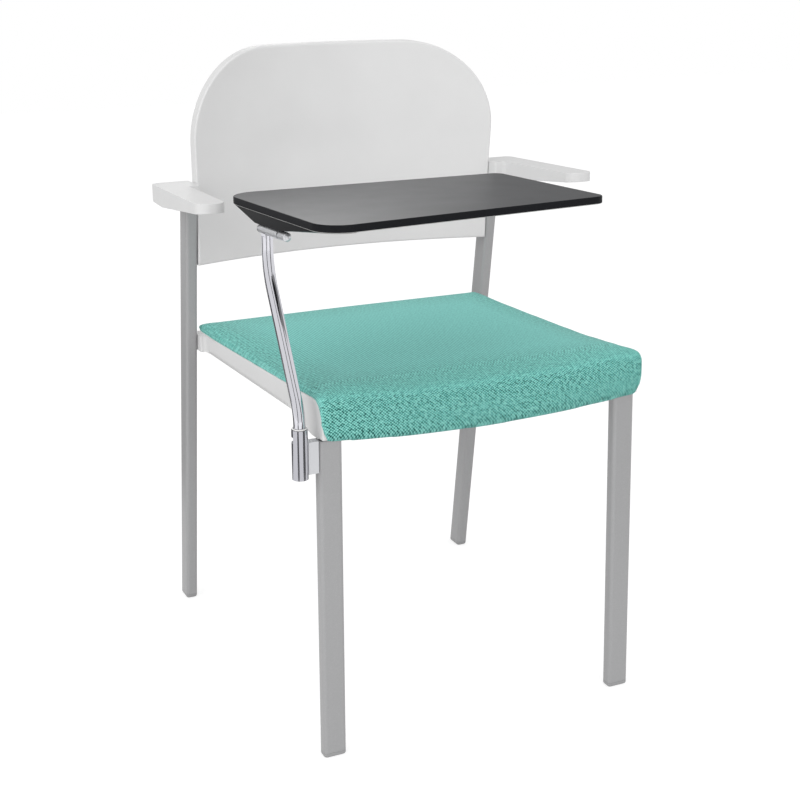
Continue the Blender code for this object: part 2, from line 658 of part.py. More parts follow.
def back_shell():
    """Hollowed panel with rounded edges, a turned-back rim and large upper corners."""
    bm = bmesh.new()
    place = bm.verts.layers.float_vector.new("place")

    def move(verts, inset, depth):
        for vert in verts:
            vert.co = back_spot(vert[place].x, vert[place].y, inset, depth)

    def panel(inset, depth):
        verts = bmesh.ops.create_grid(bm, x_segments=BACK_COLUMNS, y_segments=BACK_ROWS, size=1)["verts"]
        for vert in verts:
            vert[place] = (vert.co.x, (vert.co.y + 1) / 2, 0)
        move(verts, inset, depth)

    panel(BACK_EDGE_ROUND, 0)
    edges = [edge for edge in bm.edges if edge.is_boundary]
    bends = arc((BACK_EDGE_ROUND, BACK_EDGE_ROUND), BACK_EDGE_ROUND, math.radians(270), math.radians(180), 3)
    for inset, depth in bends[1:] + [(0, BACK_RIM), (BACK_WALL, BACK_RIM), (BACK_WALL, BACK_WALL)]:
        grown = bmesh.ops.extrude_edge_only(bm, edges=edges)["geom"]
        move([part for part in grown if isinstance(part, bmesh.types.BMVert)], inset, depth)
        edges = [part for part in grown if isinstance(part, bmesh.types.BMEdge) and part.is_boundary]
    panel(BACK_WALL, BACK_WALL)
    return smooth(piece("back_shell", finished(bm), WHITE_PLASTIC, CHAIR))


def back_bolts(shell, legs):
    """Shouldered bolts between the shell's rim and the rear legs."""
    tip = REAR_LEG_X
    collar = REAR_LEG_X - TUBE_NARROW / 2 - GAP
    shoulder = BACK_HALF + GAP
    head = BACK_HALF - BACK_WALL - GAP
    end = head - BACK_WALL
    thin, thick = BACK_BOLT_RADIUS, BACK_BOLT_HEAD
    profile = [(0, tip), (thin, tip), (thin, collar), (thick, collar), (thick, shoulder),
               (thin, shoulder), (thin, head), (thick, head), (thick, end), (0, end)]
    for side, word in ((-1, "right"), (1, "left")):
        for rise, spot in zip(BACK_BOLT_RISES, ("low", "high")):
            place = {"location": (0, back_edge_y(rise) + BACK_BOLT_BEHIND, BACK_BOTTOM + rise),
                     "rotation": (0, math.radians(90) * side, 0), "parent": CHAIR}
            turned("back_bolt_" + spot + "_" + word, profile, STEEL, SCREW_STEPS, **place)
            hole = cylinder(thin + GAP, end, tip)
            combine(shell, cutter(hole, **place))
            combine(legs[word], cutter(hole.copy(), **place))


def armrests():
    """Moulded armrests: wide and level over the leg, narrow and thinner towards the front."""
    rear_y = rear_leg_y(REAR_LEG_TOP) + ARM_REAR_HANG
    front_y = rear_y - ARM_LENGTH
    step_y = rear_y - ARM_BLOCK_LENGTH
    inner = REAR_LEG_X - TUBE_NARROW / 2
    outer = REAR_LEG_X + ARM_OUTER_REACH
    tip = outer + ARM_FLARE
    neck = outer - ARM_FRONT_WIDTH
    end = ARM_FRONT_WIDTH * ARM_END_ROUND
    corners = [(inner, rear_y, ARM_CORNER / 3), (outer, rear_y, ARM_CORNER), (tip, front_y, end),
               (tip - ARM_FRONT_WIDTH, front_y, end), (neck, step_y, ARM_CORNER / 2),
               (inner, step_y, ARM_CORNER / 3)]
    base = REAR_LEG_TOP + GAP
    tip_base = ARM_TOP_REAR + ARM_TOP_RISE - ARM_THICK_FRONT
    for side, word in ((-1, "right"), (1, "left")):
        bm = bmesh.new()
        bm.from_mesh(slab([[(side * x, y) for x, y in rounded(corners)]], 1.0))
        for y in (step_y, step_y + (front_y - step_y) / 2):
            everything = bm.verts[:] + bm.edges[:] + bm.faces[:]
            bmesh.ops.bisect_plane(bm, geom=everything, plane_co=(0, y, 0), plane_no=(0, 1, 0))
        for vert in bm.verts:
            share = (rear_y - vert.co.y) / ARM_LENGTH
            slim = max(0, step_y - vert.co.y) / (step_y - front_y)
            if vert.co.z > 0.5:
                vert.co.z = ARM_TOP_REAR + ARM_TOP_RISE * share
            else:
                vert.co.z = base + (tip_base - base) * slim
        arm = piece(word + "_armrest", finished(bm), WHITE_PLASTIC, CHAIR)
        round_edges(arm, ARM_EDGE_ROUND)
        foot = (side * REAR_LEG_X, rear_leg_y(REAR_LEG_TOP - ARM_SPIGOT), REAR_LEG_TOP - ARM_SPIGOT)
        head = REAR_LEG_TOP + ARM_THICK_REAR / 2
        place, length = along(foot, (side * REAR_LEG_X, rear_leg_y(head), head))
        stem = slab([tube_outline(TUBE_NARROW, TUBE_WIDE, TUBE_WALL + GAP)], length)
        combine(arm, cutter(stem, CHAIR, **place), "UNION")


def swivel_sleeve():
    """Lug, slotted sleeve, bushes and end plug on the front right leg."""
    bottom = SLEEVE_TOP - SLEEVE_LENGTH
    axis = {"parent": CHAIR, "location": (SLEEVE_X, SLEEVE_Y, 0)}
    ring = [(SLEEVE_RADIUS, SLEEVE_TOP), (SLEEVE_RADIUS, bottom),
            (SLEEVE_BORE, bottom), (SLEEVE_BORE, SLEEVE_TOP)]
    sleeve = turned("swivel_sleeve", ring, CHROME, ROUND_STEPS, ring=True, **axis)
    reach = SLEEVE_RADIUS + SLEEVE_WALL
    sector = arc((0, 0), reach, SLOT_START, SLOT_START + SWIVEL_TRAVEL, 12) + [(0, 0)]
    slot = slab([sector], SLOT_HEIGHT)
    slot.transform(Matrix.Translation((0, 0, SLOT_Z - SLOT_HEIGHT / 2)))
    combine(sleeve, cutter(slot, **axis))
    for angle in (SLOT_START, SLOT_START + SWIVEL_TRAVEL):
        end = cylinder(SLOT_HEIGHT / 2, 0, reach)
        end.transform(Matrix.Rotation(angle, 4, "Z") @ Matrix.Rotation(math.radians(90), 4, "Y"))
        end.transform(Matrix.Translation((0, 0, SLOT_Z)))
        combine(sleeve, cutter(end, **axis))

    bore = ARM_BAR_RADIUS + GAP
    flange = (BUSH_OUTER + SLEEVE_RADIUS) / 2
    low = SLOT_Z + SLOT_HEIGHT / 2 + GAP
    lip = SLEEVE_TOP + GAP
    upper = [(flange, lip + BUSH_FLANGE), (flange, lip), (BUSH_OUTER, lip), (BUSH_OUTER, low), (bore, low),
             (bore, lip + BUSH_FLANGE)]
    turned("sleeve_bush_upper", upper, NYLON, ROUND_STEPS, ring=True, **axis)
    top = SLOT_Z - SLOT_HEIGHT / 2 - GAP
    seat = bottom + PLUG_HEIGHT + GAP
    lower = [(BUSH_OUTER, top), (BUSH_OUTER, seat), (bore, seat), (bore, top)]
    turned("sleeve_bush_lower", lower, NYLON, ROUND_STEPS, ring=True, **axis)
    plug = [(0, bottom + PLUG_HEIGHT), (BUSH_OUTER, bottom + PLUG_HEIGHT), (BUSH_OUTER, bottom), (0, bottom)]
    turned("sleeve_plug", plug, BLACK_PLASTIC, ROUND_STEPS, **axis)

    lug_top = SLEEVE_TOP - LUG_DROP
    lug_low = lug_top - LUG_HEIGHT
    face = -(FRONT_LEG_X + TUBE_WIDE / 2 + FRONT_SPLAY_OUT * (1 - lug_low / FRONT_LEG_TOP)) - GAP
    middle = (SLEEVE_Y + FRONT_LEG_Y) / 2
    low_corner = (SLEEVE_X, middle - LUG_WIDTH / 2, lug_low)
    high_corner = (face, middle + LUG_WIDTH / 2, lug_top)
    lug = piece("sleeve_lug", block(low_corner, high_corner), CHROME, CHAIR)
    around = cylinder(SLEEVE_RADIUS + GAP, bottom, SLEEVE_TOP, ROUND_STEPS)
    combine(lug, cutter(around, **axis))


def crank_path():
    """Middle line of the arm in the sleeve's frame: up, leaning back, up again."""
    bottom = SLEEVE_TOP - SLEEVE_LENGTH + PLUG_HEIGHT + GAP
    start = SLEEVE_TOP + GAP + BUSH_FLANGE + CRANK_START
    end = HINGE_HEIGHT - HEAD_RADIUS - CRANK_TOP
    bends = CRANK_BEND_LOW + CRANK_BEND_HIGH
    rise, shy = end - start, bends - CRANK_OFFSET
    straight = math.sqrt(rise ** 2 + shy ** 2 - bends ** 2)
    lean = math.atan2(rise, shy) - math.atan2(straight, bends)
    first = arc((CRANK_BEND_LOW, start), CRANK_BEND_LOW, math.pi, math.pi - lean, BEND_STEPS)
    last = arc((CRANK_OFFSET - CRANK_BEND_HIGH, end), CRANK_BEND_HIGH, -lean, 0, BEND_STEPS)
    line = [(0, bottom)] + first + last + [(CRANK_OFFSET, HINGE_HEIGHT - HEAD_RADIUS * 0.6)]
    return [(0, y, z) for y, z in line]


def tablet_arm():
    """Bent bar with its stop pin and the hinge head on top."""
    arm = smooth(piece("arm_bar", bar(crank_path(), ARM_BAR_RADIUS), CHROME, SWIVEL))
    saddle = cylinder(HEAD_RADIUS + GAP, -HEAD_FRONT, HEAD_FRONT, ROUND_STEPS)
    combine(arm, cutter(saddle, HINGE, rotation=ALONG_HINGE))
    relief_low = (-2 * ARM_BAR_RADIUS, -HEAD_REAR, -BRACKET_SEAT_OUTER - 3 * GAP)
    relief = block(relief_low, (GAP - HEAD_RADIUS, HEAD_REAR, HEAD_RADIUS))
    combine(arm, cutter(relief, HINGE))  # lets the bracket's edge pass when the board is upright
    radial = (0, math.radians(90), SLOT_START)
    root = ARM_BAR_RADIUS / 2
    pin = [(0, STOP_PIN_REACH), (STOP_PIN_RADIUS, STOP_PIN_REACH), (STOP_PIN_RADIUS, root), (0, root)]
    place = {"parent": SWIVEL, "location": (0, 0, SLOT_Z), "rotation": radial}
    turned("stop_pin", pin, STEEL, SMALL_STEPS, **place)
    combine(arm, cutter(cylinder(STOP_PIN_RADIUS + GAP, root - GAP, SLEEVE_RADIUS), **place))

    bore = HINGE_PIN_RADIUS + 2 * GAP + HINGE_BUSH_WALL
    ring = [(HEAD_RADIUS, HEAD_REAR), (HEAD_RADIUS, -HEAD_FRONT), (bore, -HEAD_FRONT), (bore, HEAD_REAR)]
    head = turned("hinge_head", ring, CHROME, ROUND_STEPS, ring=True, parent=HINGE, rotation=ALONG_HINGE)
    inside = (bore + HEAD_RADIUS) / 2
    slope = [(inside, -STOP_LUG_DEPTH / 5), (STOP_LUG_REACH, HEAD_RADIUS - STOP_LUG_DEPTH / 2),
             (STOP_LUG_REACH, HEAD_RADIUS), (inside / 2, HEAD_RADIUS), (inside, 0)]
    lug = slab([slope], STOP_LUG_LENGTH)
    lug.transform(Matrix.Rotation(math.radians(90), 4, "X"))
    combine(head, cutter(lug, HINGE, (0, (HEAD_REAR - HEAD_FRONT + STOP_LUG_LENGTH) / 2, 0)), "UNION")
    front_end, rear_end = GAP - HEAD_FRONT, HEAD_REAR - GAP
    for word, low, high in (("front", front_end, front_end + HINGE_BUSH_LENGTH),
                            ("rear", rear_end - HINGE_BUSH_LENGTH, rear_end)):
        inner = HINGE_PIN_RADIUS + GAP
        wall = [(bore - GAP, high), (bore - GAP, low), (inner, low), (inner, high)]
        turned("hinge_bush_" + word, wall, NYLON, ring=True, parent=HINGE, rotation=ALONG_HINGE)


def tablet_hinge():
    """Pin with its nut and cap, and the leaf whose two ears hang over the head's ends."""
    on_axis = {"parent": HINGE, "rotation": ALONG_HINGE}
    bore = HINGE_PIN_RADIUS + GAP
    nut_rear = EAR_FRONT - GAP
    nut_front = nut_rear - HINGE_NUT_LENGTH
    pin_front = nut_rear - HINGE_NUT_LENGTH / 2
    cap_front = EAR_REAR + GAP
    cap_rear = cap_front + PIN_CAP_LENGTH
    pin_rear = cap_rear - PIN_CAP_LENGTH / 2
    pin = [(0, pin_rear), (HINGE_PIN_RADIUS, pin_rear), (HINGE_PIN_RADIUS, pin_front), (0, pin_front)]
    turned("hinge_pin", pin, STEEL, **on_axis)
    dome_start = nut_front + HINGE_NUT_DOME
    round_end = arc((0, 0), 1, 0, -math.pi / 2, NUT_STEPS)
    nut = [(bore, nut_rear), (HINGE_NUT_RADIUS, nut_rear)]
    nut += [(HINGE_NUT_RADIUS * out, dome_start + HINGE_NUT_DOME * down) for out, down in round_end]
    nut += [(0, pin_front - GAP), (bore, pin_front - GAP)]
    turned("hinge_nut", nut, CHROME, ROUND_STEPS, ring=True, **on_axis)
    cap = [(0, cap_rear), (PIN_CAP_RADIUS - PIN_CAP_TAPER, cap_rear), (PIN_CAP_RADIUS, cap_front),
           (bore, cap_front), (bore, pin_rear + GAP), (0, pin_rear + GAP)]
    turned("hinge_cap", cap, CHROME, ROUND_STEPS, **on_axis)

    plan = [(0, EAR_FRONT), (LEAF_INNER, EAR_FRONT), (LEAF_INNER, EAR_REAR), (0, EAR_REAR)]
    plate = slab([plan], LEAF_THICK)
    plate.transform(Matrix.Translation((0, 0, LEAF_BASE)))
    leaf = piece("hinge_leaf", plate, STEEL, HINGE)
    top = LEAF_BASE + LEAF_THICK / 2
    ear_plan = arc((0, 0), HEAD_RADIUS, math.radians(180), math.radians(360), 14)
    ear_plan += [(2 * HEAD_RADIUS, LEAF_BASE), (2 * HEAD_RADIUS, top), (0, top), (0, HEAD_RADIUS)]
    for rear_face in (EAR_FRONT + LEAF_THICK, EAR_REAR):
        ear = slab([ear_plan], LEAF_THICK)
        ear.transform(Matrix.Rotation(math.radians(90), 4, "X"))
        combine(leaf, cutter(ear, HINGE, (0, rear_face, 0)), "UNION")
    combine(leaf, cutter(cylinder(bore, pin_front, pin_rear), **on_axis))
    return leaf


def board_outline(inset=0.0):
    """Plan of the tapered board, drawn in by inset; the outer end's corners come first."""
    outer, free = inset - BOARD_OUTER, BOARD_LENGTH - BOARD_OUTER - inset
    rear, front = BOARD_REAR - inset, inset - BOARD_FRONT
    return rounded([(outer, rear, BOARD_CORNER), (outer, front, BOARD_CORNER),
                    (free, front + BOARD_FRONT_TAPER, BOARD_FREE_CORNER),
                    (free, rear - BOARD_REAR_TAPER, BOARD_FREE_CORNER)], BOARD_STEPS)


def board():
    """Tapered writing board with rounded corners."""
    item = piece("tablet_board", slab([board_outline()], BOARD_THICK), DARK_BOARD, HINGE, (0, 0, BOARD_BASE))
    round_edges(item, BOARD_EDGE_ROUND)
    return item


def bracket():
    """Hipped black moulding: flat on the leaf, spreading to the board's outer end."""
    high = LEAF_BASE + BRACKET_DEPTH
    top = board_outline(BRACKET_EDGE_INSET)[:2 * (BOARD_STEPS + 1)]
    top += [(BRACKET_INNER, -BOARD_FRONT * BRACKET_INNER_SHARE),
            (BRACKET_INNER, BOARD_REAR * BRACKET_INNER_SHARE)]
    seat_outer, seat_inner = -BRACKET_SEAT_OUTER, LEAF_INNER + BRACKET_SEAT_OUTER / 2
    seat = [(seat_outer, BRACKET_SEAT_REAR), (seat_outer, -BRACKET_SEAT_FRONT),
            (seat_inner, -BRACKET_SEAT_FRONT), (seat_inner, BRACKET_SEAT_REAR)]
    bm = bmesh.new()
    for (x, y), z in [(spot, high) for spot in top] + [(spot, LEAF_BASE) for spot in seat]:
        bm.verts.new((x, y, z))
    bmesh.ops.convex_hull(bm, input=bm.verts)
    bmesh.ops.dissolve_limit(bm, angle_limit=math.radians(1), verts=bm.verts, edges=bm.edges)
    item = piece("tablet_bracket", finished(bm), BLACK_PLASTIC, HINGE)
    round_edges(item, BOARD_EDGE_ROUND, math.radians(15))
    pocket_high = (LEAF_INNER + GAP, EAR_REAR + GAP, LEAF_BASE + LEAF_THICK + GAP)
    combine(item, cutter(block((-GAP, EAR_FRONT - GAP, 0), pocket_high), HINGE))
    return item


def tablet():
    """Board, bracket and hinge leaf with the screws that clamp them."""
    drilled = (tablet_hinge(), bracket(), board())
    head = LEAF_BASE - GAP
    tip = BOARD_BASE + BOARD_THICK / 2
    xs = (STOP_LUG_REACH + 2.5 * SCREW_HEAD_RADIUS, LEAF_INNER - 1.5 * SCREW_HEAD_RADIUS)
    ys = (-BRACKET_SEAT_FRONT + 2 * SCREW_HEAD_RADIUS, BRACKET_SEAT_REAR - 2.5 * SCREW_HEAD_RADIUS)
    for x, across in zip(xs, ("outer", "inner")):
        for y, along_word in zip(ys, ("front", "rear")):
            screw("tablet_screw_" + along_word + "_" + across, tip - head, HINGE, (x, y, head))
            for item in drilled:
                hole = cylinder(SCREW_RADIUS + GAP, head - SCREW_HEAD_HEIGHT, tip + GAP, SCREW_STEPS)
                combine(item, cutter(hole, HINGE, (x, y, 0)))


def centre_on_floor():
    """Slide the whole chair so that its box is centred on the origin, feet at z = 0."""
    graph = bpy.context.evaluated_depsgraph_get()
    spots = []
    for item in PARTS.objects:
        if item.type != "EMPTY":
            shape = item.evaluated_get(graph)
            spots += [shape.matrix_world @ vert.co for vert in shape.data.vertices]
    for axis in (0, 1):
        values = [spot[axis] for spot in spots]
        CHAIR.location[axis] = -(min(values) + max(values)) / 2


front_legs()
seat_pan(seat_rails())
seat_pad()
back_bolts(back_shell(), rear_legs())
armrests()
swivel_sleeve()
tablet_arm()
tablet()
centre_on_floor()
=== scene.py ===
"""Looks of the visitor chair with a writing tablet: its finishes, smooth forms, stuffed seat pad and studio.

Metres, +Z up, the chair faces -Y. Right and left are the sitter's: right is -X.
"""

import json
import math

import bmesh
import bpy
from bmesh.types import BMEdge, BMVert
from mathutils import Euler, Matrix, Vector


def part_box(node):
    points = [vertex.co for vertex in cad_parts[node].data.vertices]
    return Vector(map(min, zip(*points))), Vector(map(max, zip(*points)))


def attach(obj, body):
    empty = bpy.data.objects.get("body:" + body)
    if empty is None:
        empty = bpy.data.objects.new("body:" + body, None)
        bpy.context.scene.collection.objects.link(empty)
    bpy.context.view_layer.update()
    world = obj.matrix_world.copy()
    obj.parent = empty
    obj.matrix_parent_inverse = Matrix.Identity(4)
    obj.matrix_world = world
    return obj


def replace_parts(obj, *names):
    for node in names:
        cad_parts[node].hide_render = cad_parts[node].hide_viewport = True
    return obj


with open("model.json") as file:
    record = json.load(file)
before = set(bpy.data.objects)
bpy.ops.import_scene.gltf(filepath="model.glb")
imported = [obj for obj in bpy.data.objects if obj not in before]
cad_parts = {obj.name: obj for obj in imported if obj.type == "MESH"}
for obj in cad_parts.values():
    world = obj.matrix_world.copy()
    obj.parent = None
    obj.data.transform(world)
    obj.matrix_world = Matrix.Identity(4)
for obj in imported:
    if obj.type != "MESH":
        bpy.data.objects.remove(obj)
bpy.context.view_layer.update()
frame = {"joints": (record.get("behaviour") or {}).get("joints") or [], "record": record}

MM = 0.001
GAP = 0.0003                # left free between pieces
FACES_DOWN = -0.3           # shares of a normal that tell which way a face looks
FACES_UP = 0.3
FACES_BACK = 0.5

# Seat, in its own frame: y back from the front edge, z up from the pad's front edge
SEAT_HEIGHT = 0.456
SEAT_SLOPE = math.radians(2.7)
SEAT_WIDTH = 0.424
SEAT_DEPTH = 0.441
PAD_EDGE = 0.012            # pad thickness along its edges
PAD_LIP_DROP = 0.049        # how far the pad wraps down in front
PAD_FULL = 0.0012           # makes good what remeshing and smoothing take off the cover
PAD_CORNER_FULL = 0.0045    # fuller front bend and front corners
PAD_CORNER_RUN = 0.12       # how far back that runs
PAD_LIP_FULL = 0.003        # deeper lip between the legs
PAD_LIP_SPAN = 0.180        # half the width in which it hangs
PAD_LIP_FOOT = 0.002        # makes good what smoothing takes off the lip's foot
PAD_FRONT_FULL = 0.0095     # lip stands out before the pan's cheeks
PAD_FRONT_RUN = 0.030       # how far back that runs
PAD_OVERHANG = 0.003        # most that the pad stands out over the pan's rim
PAD_CORNER_LIFT = 0.006     # firm front corners
PAD_LIP_WIDE = 0.0035       # lip stands out sideways at its ends
PAD_REAR_CORNER = 0.004     # fuller rear corners
PAD_SWELL = 0.0025          # most that the cover swells
PAD_TURN = 0.020            # band along the edges in which the weave turns down
PAD_MESH = 0.004            # even mesh on which the cover is stuffed
COVER_PRESSURE = 4
COVER_STEPS = 20
COVER_SMOOTHING = 4         # rounds of smoothing after that
WEAVE_FLAT = 0.25           # how open the weave is on the flat of the pad
WEAVE_EDGE = 0.5            # and how much more towards the edges
WEAVE_SIDE_BAND = 0.06
WEAVE_FRONT_BAND = 0.07
WEAVE_REAR_BAND = 0.13
WEAVE_REAR = 0.8            # share of that opening at the rear edge
PAN_WALL = 0.003
PAN_SKIRT = 0.0285
PAN_BEND = 0.022
PAN_CHEEK = 0.0704          # how far back the deep front of the skirts runs
PAN_ROLL = 0.012            # height of the skirts' lower band, which rolls in
ROLL_START = math.radians(15)
ROLL_END = math.radians(55)
ROLL_STEPS = 5
PAN_REAR_ROUND = 0.002
PAN_FOOT_ROUND = 0.0015     # below the rolled front
PAN_HEEL_ROUND = 0.005
PAN_CHEEK_ROUND = 0.060
PAN_EDGE_ROUND = 0.0006
RIM_RUN = 0.420             # raised edge of the pan beside the pad, lower towards the rear
RIM_PROUD = 0.008
RIM_FORWARD = 0.012
RIM_THICK = 0.006
RIM_ROUND = 0.0042
PAN_EAR_REACH = 0.0075
PAN_EAR_LENGTH = 0.036
PAN_EAR_HEIGHT = 0.0225
PAN_EAR_NECK = 0.009        # hollow between ear and skirt
PAN_EAR_BEHIND = 0.0162     # ear's end behind the pan's rear edge
PAN_EAR_REAR_ROUND = 0.002
PAN_EAR_FRONT_ROUND = 0.003
PAN_EAR_EDGE_ROUND = 0.0012
RAIL_WIDTH = 0.017
RAIL_HEIGHT = 0.019
RAIL_EDGE_ROUND = 0.0008

# Screws and turned pieces
SCREW_HEAD_HEIGHT = 0.0018
SCREW_HEAD_RADIUS = 0.004
SCREW_HEAD_RIM = 0.0003
SCREW_DOME = ((0.0019, 0.00015), (0.0032, 0.0007))   # radius, and drop from the crown
SCREW_RADIUS = 0.002
SCREW_POINT_RADIUS = 0.0012
SCREW_POINT = 0.001
RECESS_REACH = 0.0022       # cross recess, from the screw's axis
RECESS_HALF = 0.0004
RECESS_DEPTH = 0.0011
BOLT_EDGE_ROUND = 0.0004
FINE_EDGE = 0.0003          # edge broken after turning
LUG_EDGE_ROUND = 0.001

# Legs
TUBE_WIDE = 0.029
TUBE_NARROW = 0.0165
TUBE_CORNER = 0.0045
TUBE_WALL = 0.0015
GLIDE_HEIGHT = 0.006
GLIDE_ROUND = 0.003
GLIDE_STEM = 0.020
FRONT_SPLAY_OUT = 0.0046
FRONT_SPLAY_FORWARD = 0.0119
REAR_RAKE = math.radians(8.0)

# Backrest
BACK_HEIGHT = 0.283
BACK_CORNER = 0.118
BACK_STRAIGHT = 4 / 11      # share of the rows below the upper corners
BACK_SIDE_GAP = 0.0008      # between the back's sides and the legs
BACK_SAG_LOW = 0.033
BACK_SAG_HIGH = 0.061
BACK_EDGE_LEAN = 0.055
BACK_FLARE = 0.0018
BACK_FLARE_START = 0.088    # rise at which the sides start to flare
BACK_RIM = 0.020
BACK_RIM_ROUND = 0.001
BACK_WALL = 0.0035
BACK_COLUMNS = 48
BACK_ROWS = 55
BACK_EDGE_ROUND = 0.003
BACK_BEFORE_LEG = 0.014     # side edge in front of the leg's middle
BACK_HOLD = 0.045           # rise at which the back is bolted to the legs

# Armrests
ARM_FLARE = 0.006
ARM_FRONT_WIDTH = 0.037
ARM_BLOCK_LENGTH = 0.053
ARM_TOP_RISE = 0.010
ARM_THICK_FRONT = 0.012
ARM_CORNER = 0.011
ARM_END_ROUND = 0.0166
ARM_EDGE_ROUND = 0.0025
ARM_SPIGOT = 0.014
ARM_ROOT = 0.005            # how far the spigot runs into the moulding

# Tablet arm
SLEEVE_BEHIND_FRONT = 0.0082   # sleeve's axis behind the seat's front edge
SLEEVE_WALL = 0.0012
SLOT_DROP = 0.012
SLOT_HEIGHT = 0.0068
SLOT_START = math.radians(86)
SWIVEL_TRAVEL = math.radians(90)
ARM_BAR_RADIUS = 0.0068
ARM_BAR_FOOT = 0.0063          # bar's lower end above the sleeve's
CRANK_START = 0.0035           # bend's start above the sleeve
CRANK_OFFSET = 0.088
CRANK_BEND_LOW = 0.055
CRANK_BEND_HIGH = 0.090
CRANK_TOP = 0.016
HEAD_RADIUS = 0.0055
HEAD_REAR = 0.013
HEAD_FRONT = 0.0365
HINGE_YAW = math.radians(3.6)
BOARD_SLOPE = math.radians(-1.87)

# Board and bracket, in the hinge's frame: x along the board, y back, z up
LEAF_THICK = 0.0027
LEAF_INNER = 0.052
BOARD_LENGTH = 0.363
BOARD_OUTER = 0.008
BOARD_THICK = 0.009
BOARD_REAR = 0.107
BOARD_FRONT = 0.170
BOARD_REAR_TAPER = 0.0375
BOARD_FRONT_TAPER = 0.008
BOARD_CORNER = 0.034
BOARD_FREE_CORNER = 0.015
BOARD_EDGE_ROUND = 0.0014
BRACKET_DEPTH = 0.0134
BRACKET_SEAT_REAR = 0.0195
BRACKET_SEAT_FRONT = 0.041
BRACKET_SEAT_OUTER = 0.006
BRACKET_INNER = 0.120
BRACKET_INNER_SHARE = 0.6
BRACKET_EDGE_INSET = 0.001

# Places from the frame
JOINTS = {joint["name"]: joint for joint in frame["joints"]}
SWIVEL = Vector(JOINTS["arm_swivel"]["pos_m"])
HINGE_SPOT = Vector(JOINTS["tablet_tilt"]["pos_m"])
HINGE = Matrix.LocRotScale(HINGE_SPOT, Euler((BOARD_SLOPE, 0, HINGE_YAW)), None)
SEAT_FRONT = Vector((0, SWIVEL.y - SLEEVE_BEHIND_FRONT, SEAT_HEIGHT))
SEAT = Matrix.LocRotScale(SEAT_FRONT, Euler((-SEAT_SLOPE, 0, 0)), None)
ALONG_HINGE = HINGE @ Matrix.Rotation(math.radians(-90), 4, "X")   # turns a piece's z to the hinge's y
REAR_FOOT = Vector(frame["record"]["mounts"][0]["pos_m"])
BACK_HALF = REAR_FOOT.x - TUBE_NARROW / 2 - BACK_SIDE_GAP
BACK_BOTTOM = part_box("back_shell")[0].z
SIDES = ((-1, "right"), (1, "left"))

# Studio and camera
DOME_LIGHT = 0.82
FLOOR_SIZE = 12
FLOOR_GLOW = 0.72           # what the camera sees of the floor: its own white, and its lit part
FLOOR_SHADE = 0.40
FLOOR_BOUNCE = "B6B6B6"     # light that the floor throws up
CAMERA_SPOT = (-0.800, -1.6814, 0.977)
CAMERA_RIGHT = (0.9048, -0.4259, 0.0)
CAMERA_UP = (0.1340, 0.2847, 0.9492)
CAMERA_SENSOR = 36
CAMERA_LENS = CAMERA_SENSOR * 1473 / 800      # 1473 pixels in a picture of 800
CAMERA_TURN = math.atan2(CAMERA_SPOT[1], CAMERA_SPOT[0])
STRIPS = ((-18, 14), (-139, 56), (68, 22), (142, 16))   # degrees from the camera's side and degrees wide
FLAGS = ((-110, 26), (-13, 12), (59, 16))
FLAG_NEAR = 0.9             # strips on the floor around the tablet's post, seen only in the chrome
FLAG_FAR = 2.6              # upright flags
FLAG_HEIGHT = 3.2
FLAG_LIFT = 0.002
FLAG_TONE = "585858"
CARD = ((1.50, 1.85, 2.0), (-1.0, -2.1, -0.6), 2.4, 4.4)   # graded light that the board's top mirrors
CARD_SPAN = (0.42, 1.15)    # brighter at the hinge's end
CARD_LIGHT = (5.0, 0.40)
# Name, place, aim, width and watts
LAMPS = (("left", (-2.4, -1.2, 1.35), (0, 0, 0.35), 3.0, 28),
         ("front", (0.3, -3.0, 1.1), (0, 0, 0.35), 2.0, 17))


# Materials
def linear(colour):
    """sRGB hex to linear light."""
    shares = [int(colour[i:i + 2], 16) / 255 for i in (0, 2, 4)]
    return tuple(s / 12.92 if s <= 0.04045 else ((s + 0.055) / 1.055) ** 2.4 for s in shares) + (1.0,)


def add(tree, kind, links=None, colours=(), **settings):
    """One node with its settings and the hex colours of its ramp, and its sockets set or linked."""
    node = tree.nodes.new(kind)
    for name, value in settings.items():
        setattr(node, name, value)
    for i, (place, colour) in enumerate(colours):
        stops = node.color_ramp.elements
        stop = stops[i] if i < len(stops) else stops.new(place)
        stop.position = place
        stop.color = linear(colour)
    for socket, value in (links or {}).items():
        if isinstance(value, bpy.types.NodeSocket):
            tree.links.new(value, node.inputs[socket])
        else:
            node.inputs[socket].default_value = value
    return node


def coat(name, roughness, **sockets):
    """New material, its tree, its shader and the piece's own coordinates."""
    material = bpy.data.materials.new(name)
    material.use_nodes = True
    tree = material.node_tree
    shader = tree.nodes["Principled BSDF"]
    shader.inputs["Roughness"].default_value = roughness
    for socket, value in sockets.items():
        shader.inputs[socket.replace("_", " ")].default_value = value
    return material, tree, shader, add(tree, "ShaderNodeTexCoord").outputs["Object"]


def powder_coated_steel():
    """Baked silver-grey powder on steel tube: satin, faint orange peel, fine aluminium flake."""
    material, tree, shader, spot = coat("powder_coated_steel", 0.46, Metallic=0.08)
    flake = add(tree, "ShaderNodeTexVoronoi", {"Vector": spot, "Scale": 1 / (0.9 * MM)})  # coarser, to show
    colour = add(tree, "ShaderNodeValToRGB", {"Fac": flake.outputs["Color"]},
                 ((0.0, "A6A6A7"), (0.8, "ABABAC"), (1.0, "B2B2B3")))
    tree.links.new(colour.outputs["Color"], shader.inputs["Base Color"])
    peel = add(tree, "ShaderNodeTexNoise", {"Vector": spot, "Scale": 1 / (2.5 * MM), "Detail": 2.0})
    bump = add(tree, "ShaderNodeBump", {"Height": peel.outputs["Fac"], "Strength": 0.12,
                                        "Distance": 0.05 * MM})
    tree.links.new(bump.outputs["Normal"], shader.inputs["Normal"])
    return material


